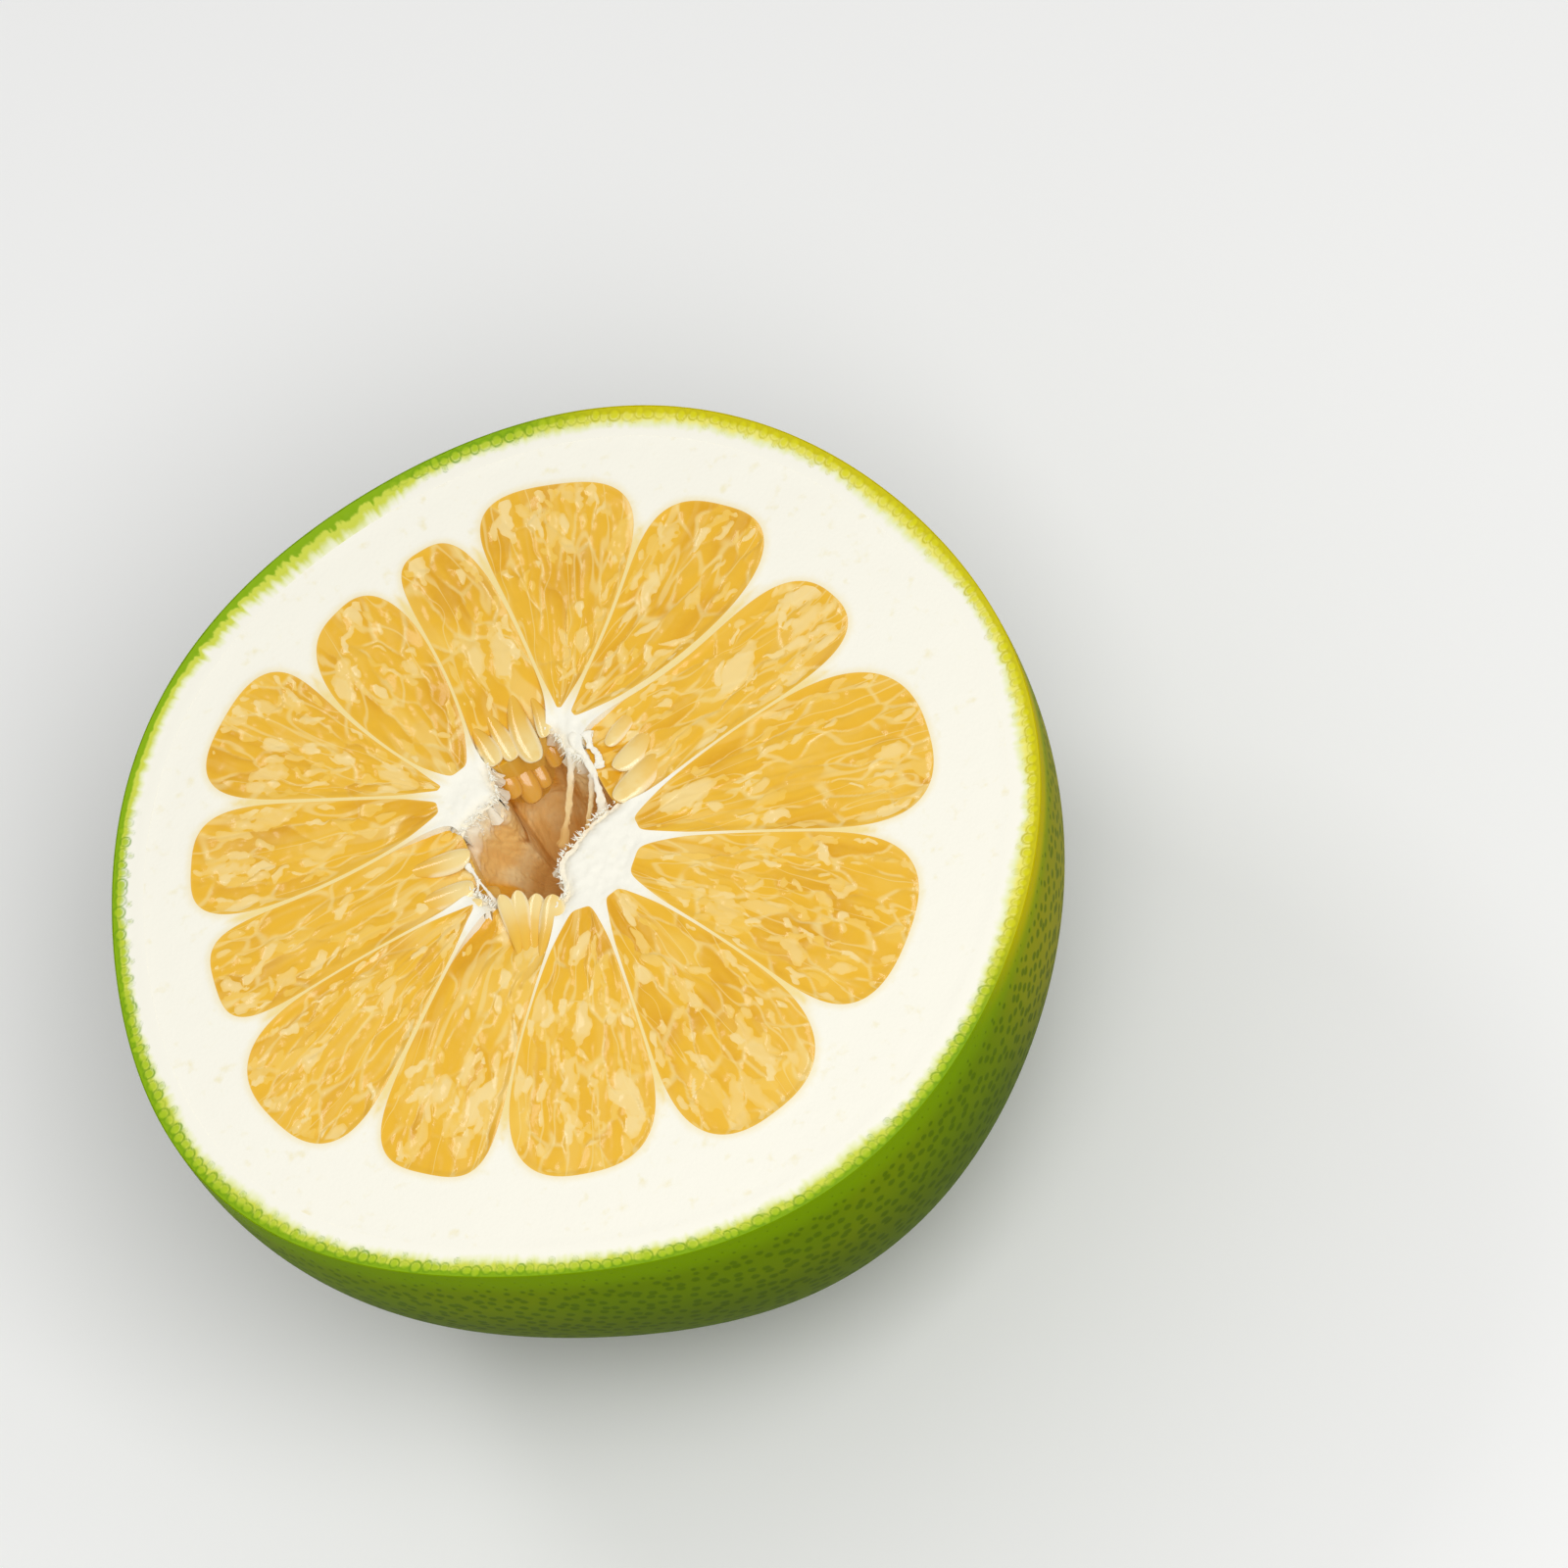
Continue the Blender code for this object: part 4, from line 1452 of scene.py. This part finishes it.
@dataclass
class LooseSacs:
    """The whole juice sacs that stand out of the torn segments over the hollow."""

    sides: int = 26
    bands: int = 26
    flatness: float = 0.50
    bend: float = 0.05

    def one(self, sac: Sac, number: int) -> Object:
        """Models one sac as a flattened teardrop, its root narrow and its tip round, a little bent.

        Args:
            sac: Its place and width.
            number: Its number, which sets its bend.

        Returns:
            The sac.
        """
        deselect()
        bpy.ops.mesh.primitive_uv_sphere_add(segments=self.sides, ring_count=self.bands, radius=1)
        obj = bpy.context.object
        x, y, z = points_of(obj).T
        share = (z + 1) / 2
        girth = np.sqrt(np.clip(1 - z**2, 0, 1)) ** 0.85 * (0.34 + 0.70 * share**0.8)
        angle = np.arctan2(y, x)
        root, tip = np.array(sac.root) * MM, np.array(sac.tip) * MM
        length = float(np.linalg.norm(tip - root))
        ahead = (tip - root) / length
        half = girth * sac.width * MM / 2
        wide = half * np.cos(angle) + self.bend * math.sin(2.3 * number) * length * 4 * share * (1 - share)
        plan = root + (tip - root) * share[:, None] + wide[:, None] * np.array((-ahead[1], ahead[0]))
        depth = (sac.depths[1] + (sac.depths[0] - sac.depths[1]) * (1 - share) ** 1.6) * MM
        move_points(obj, np.c_[plan, FRUIT.height - depth - half * self.flatness * (1 - np.sin(angle))])
        side = np.abs(np.cos(angle)) * smooth_step(share, 0.1, 0.5)
        # amber darkens the sacs that hang deep in the hollow, as painted shade.
        keep_values(obj, tip=share, side=side, amber=smooth_step(sac.depths[1], 1.0, 7.0))
        return obj

    def build(self) -> Object:
        """Builds and dresses the sacs as one piece."""
        obj = join([self.one(sac, number) for number, sac in enumerate(SACS)])
        nodes = ["segment_01", "segment_04", "segment_08", "segment_10"]
        return finish_piece(obj, "loose_sacs", nodes, SacFinish().build())


@dataclass(frozen=True)
class Strand:
    """A torn strand of pith: its width and thickness, and its path from the axis and the cut, all in mm."""

    width: float
    thickness: float
    path: tuple


STRANDS = (
    Strand(1.3, 0.7, (
        (8.4, 17.6, -0.6), (8.6, 13.5, -1.0), (8.3, 9.5, -1.5), (7.4, 6.0, -2.0), (6.0, 3.0, -2.8),
    )),
    Strand(1.2, 0.8, ((7.6, 15.6, -1.0), (4.8, 12.4, -4.0), (1.6, 9.4, -7.5), (-1.8, 6.8, -10.5))),
    Strand(1.0, 0.7, ((8.4, 10.4, -2.0), (6.0, 8.0, -4.5), (3.6, 5.8, -6.5), (1.6, 2.6, -8.5))),
    Strand(0.55, 0.4, ((-14.9, 7.6, -0.6), (-14.7, 4.6, -0.9), (-14.4, 2.0, -1.4), (-14.0, -0.8, -2.4))),
    Strand(0.5, 0.4, ((-14.6, 4.4, -0.9), (-15.3, 3.2, -1.0), (-16.4, 2.2, -1.0))),
    Strand(1.1, 0.5, ((10.8, 16.2, -0.3), (10.1, 13.8, -0.6), (10.4, 11.8, -0.9), (9.6, 9.8, -1.3))),
)


@dataclass
class CoreStrands:
    """The torn strands, strips and scraps that hang in the hollow."""

    around: int = 14
    along: int = 44

    def one(self, strand: Strand, noise: Noise, number: int) -> Object:
        """Models one strand as a tube along its path, ragged in width and closed to a point at each end.

        Args:
            strand: Its path and sizes.
            noise: The noise that makes it ragged.
            number: Its number, which sets where the noise is read.

        Returns:
            The strand.
        """
        obj, sides, ends = add_grid(self.around, self.along)
        turn, share = full_turn(sides), (ends + 1) / 2
        path = np.array(strand.path)
        place = share * (len(path) - 1)
        first = np.clip(np.floor(place).astype(int), 0, len(path) - 2)
        ease = smooth_step(place - first, 0.0, 1.0) * 0.4 + (place - first) * 0.6
        ahead = path[first + 1] - path[first]
        middle = path[first] + ahead * ease[:, None]
        ahead = ahead / np.linalg.norm(ahead, axis=1)[:, None]
        aside = np.cross(np.array((0.0, 0.0, 1.0)), ahead)
        aside /= np.linalg.norm(aside, axis=1)[:, None]
        ragged = 1 + 0.5 * noise.at(share * 9 + 7 * number, np.cos(turn) * 1.5)
        ragged += 0.35 * noise.at(share * 26 + 3 * number, np.sin(turn) * 3)
        flare = 0.75 + 1.6 * np.abs(2 * share - 1) ** 3
        taper = np.clip(np.minimum(share / 0.06, (1 - share) / 0.06), 0, 1) ** 0.6 * ragged * flare
        placed = middle + (np.cos(turn) * strand.width / 2 * taper)[:, None] * aside
        placed = placed + (np.sin(turn) * strand.thickness / 2 * taper)[:, None] * np.cross(ahead, aside)
        placed = placed * MM + (0, 0, FRUIT.height)
        placed[:, 2] = np.minimum(placed[:, 2], FRUIT.height - CLEARANCE)
        move_points(obj, placed)
        keep_values(obj, deep=0.15 + 0.75 * smooth_step(-middle[:, 2], 0.8, 6.0))
        merge(obj, 1e-7)
        point_faces(obj)
        return obj

    def build(self, material: Material) -> Object:
        """Builds and dresses the strands as one piece.

        Args:
            material: The pith's material.

        Returns:
            The piece.
        """
        noise = Noise(61)
        obj = join([self.one(strand, noise, number) for number, strand in enumerate(STRANDS)])
        return finish_piece(obj, "core_strands", ["pith"], material)


@dataclass
class CoreFuzz:
    """The fine tufts of torn pith round the hollow's edge."""

    count: int = 520
    length: tuple[float, float] = (0.0005, 0.0016)
    radius: float = 0.00016
    deepest: float = 0.0065

    def build(self, rim: Array, pockets: list[Array], material: Material) -> Object:
        """Builds and dresses the tufts as one piece.

        Args:
            rim: The ragged outline that the pith's face ends at.
            pockets: The outlines of the segments' pockets, which bear no tufts.
            material: The pith's material.

        Returns:
            The piece.
        """
        rng = np.random.default_rng(71)
        deselect()
        bpy.ops.mesh.primitive_cone_add(vertices=6, radius1=1, radius2=0.12, depth=1)
        first = bpy.context.object
        shape = points_of(first)
        shape[:, 2] += 0.5
        made = []
        while len(made) < self.count:
            spot = rim[rng.integers(len(rim))]
            if any(inside(spot[None], pocket)[0] for pocket in pockets):
                continue
            depth = 0.0001 + self.deepest * rng.uniform() ** 2
            inward = np.array(FRUIT.hollow_middle) - spot
            inward /= np.hypot(*inward)
            way = Vector((*(inward + rng.normal(0, 0.55, 2)), rng.normal(0.05, 0.45))).normalized()
            base = np.array((*(spot - inward * (0.0003 + 0.0001 * rng.uniform())), FRUIT.height - depth))
            length = rng.uniform(*self.length) * (1 if depth > 0.0008 else 0.6)
            turn = np.array(Vector((0, 0, 1)).rotation_difference(way).to_matrix())
            sized = shape * (self.radius * rng.uniform(0.6, 1.3), self.radius * rng.uniform(0.6, 1.3), length)
            tuft = first.copy()
            tuft.data = first.data.copy()
            bpy.context.scene.collection.objects.link(tuft)
            placed = sized @ turn.T + base
            placed[:, 2] = np.minimum(placed[:, 2], FRUIT.height - CLEARANCE)
            move_points(tuft, placed)
            keep_values(tuft, deep=0.5 * smooth_step(depth / MM, 1.5, 7.0))
            made.append(tuft)
        bpy.data.objects.remove(first, do_unlink=True)
        return finish_piece(join(made), "core_fuzz", ["pith"], material)


# The studio


@dataclass
class Studio:
    """The plain pale floor, soft lights and the camera at the photograph's angle."""

    elevation: float = 58.5
    roll: float = 31.85
    distance: float = 6.0
    lens: float = 923.4
    aim: tuple[float, float] = (0.0315, 0.0093)
    daylight: float = 0.48
    # Each lamp's name, its place and its sides' length in metres, and its power in watts.
    lamps: tuple = (("key", (0.12, -0.50, 0.86), 0.55, 4.9), ("back", (-0.25, 0.62, 0.75), 0.25, 1.1))

    def camera(self) -> None:
        """Sets the camera."""
        tilt, roll = math.radians(self.elevation), math.radians(self.roll)
        back = Vector((0, -math.cos(tilt), math.sin(tilt)))
        up_plain = Vector((0, math.sin(tilt), math.cos(tilt)))
        right = math.cos(roll) * Vector((1, 0, 0)) - math.sin(roll) * up_plain
        up = math.sin(roll) * Vector((1, 0, 0)) + math.cos(roll) * up_plain
        target = Vector((0, 0, FRUIT.height)) + self.aim[0] * right + self.aim[1] * up
        data = bpy.data.cameras.new("camera")
        data.lens = self.lens
        camera = bpy.data.objects.new("camera", data)
        bpy.context.scene.collection.objects.link(camera)
        turned = Matrix((right, up, back)).transposed().to_4x4()
        camera.matrix_world = Matrix.Translation(target + self.distance * back) @ turned
        bpy.context.scene.camera = camera

    def build(self) -> None:
        """Builds the floor, the lamps, the light of the surroundings and the camera."""
        deselect()
        bpy.ops.mesh.primitive_plane_add(size=4)
        floor = bpy.context.object
        floor.name = "floor"
        material, tree, place = new_material("matt white board")
        grain = add_node(tree, "TexNoise", {"Vector": place, "Scale": 3.0})
        colour = lay_colours(tree, "#FBFBFA", (grain, 1.0, "#F8F8F7", 0.3, 0.7))
        finish_shader(tree, colour, (grain, 0.0001, 0.1), Roughness=0.8)
        floor.data.materials.append(material)
        for name, spot, size, power in self.lamps:
            data = bpy.data.lights.new(name, "AREA")
            data.size, data.energy = size, power
            lamp = bpy.data.objects.new(name, data)
            bpy.context.scene.collection.objects.link(lamp)
            way = Vector((0, 0, FRUIT.height)) - Vector(spot)
            lamp.matrix_world = Matrix.Translation(spot) @ way.to_track_quat("-Z", "Y").to_matrix().to_4x4()
        world = bpy.data.worlds.new("studio")
        world.use_nodes = True
        background = world.node_tree.nodes["Background"].inputs
        background["Color"].default_value = (1, 1, 1, 1)
        background["Strength"].default_value = self.daylight
        bpy.context.scene.world = world
        bpy.context.scene.view_settings.view_transform = "Standard"
        self.camera()


def main() -> None:
    """Builds the half and its studio."""
    logging.basicConfig(level=logging.INFO, format="%(name)s %(message)s")
    Studio().build()
    Rind().build()
    CutRind().build()
    pith, white = Pith(), PithFinish().build()
    loops = pith.loops()
    pith.face(loops, white)
    pith.bowl(white)
    CoreWall().build(loops[1], loops[2:], white)
    CoreStrands().build(white)
    CoreFuzz().build(loops[1], loops[2:], white)
    gold = PulpFinish().build()
    for index in range(len(MEMBRANES)):
        PulpSegment(index).build(gold)
    LooseSacs().build()


if __name__ == "__main__":
    main()
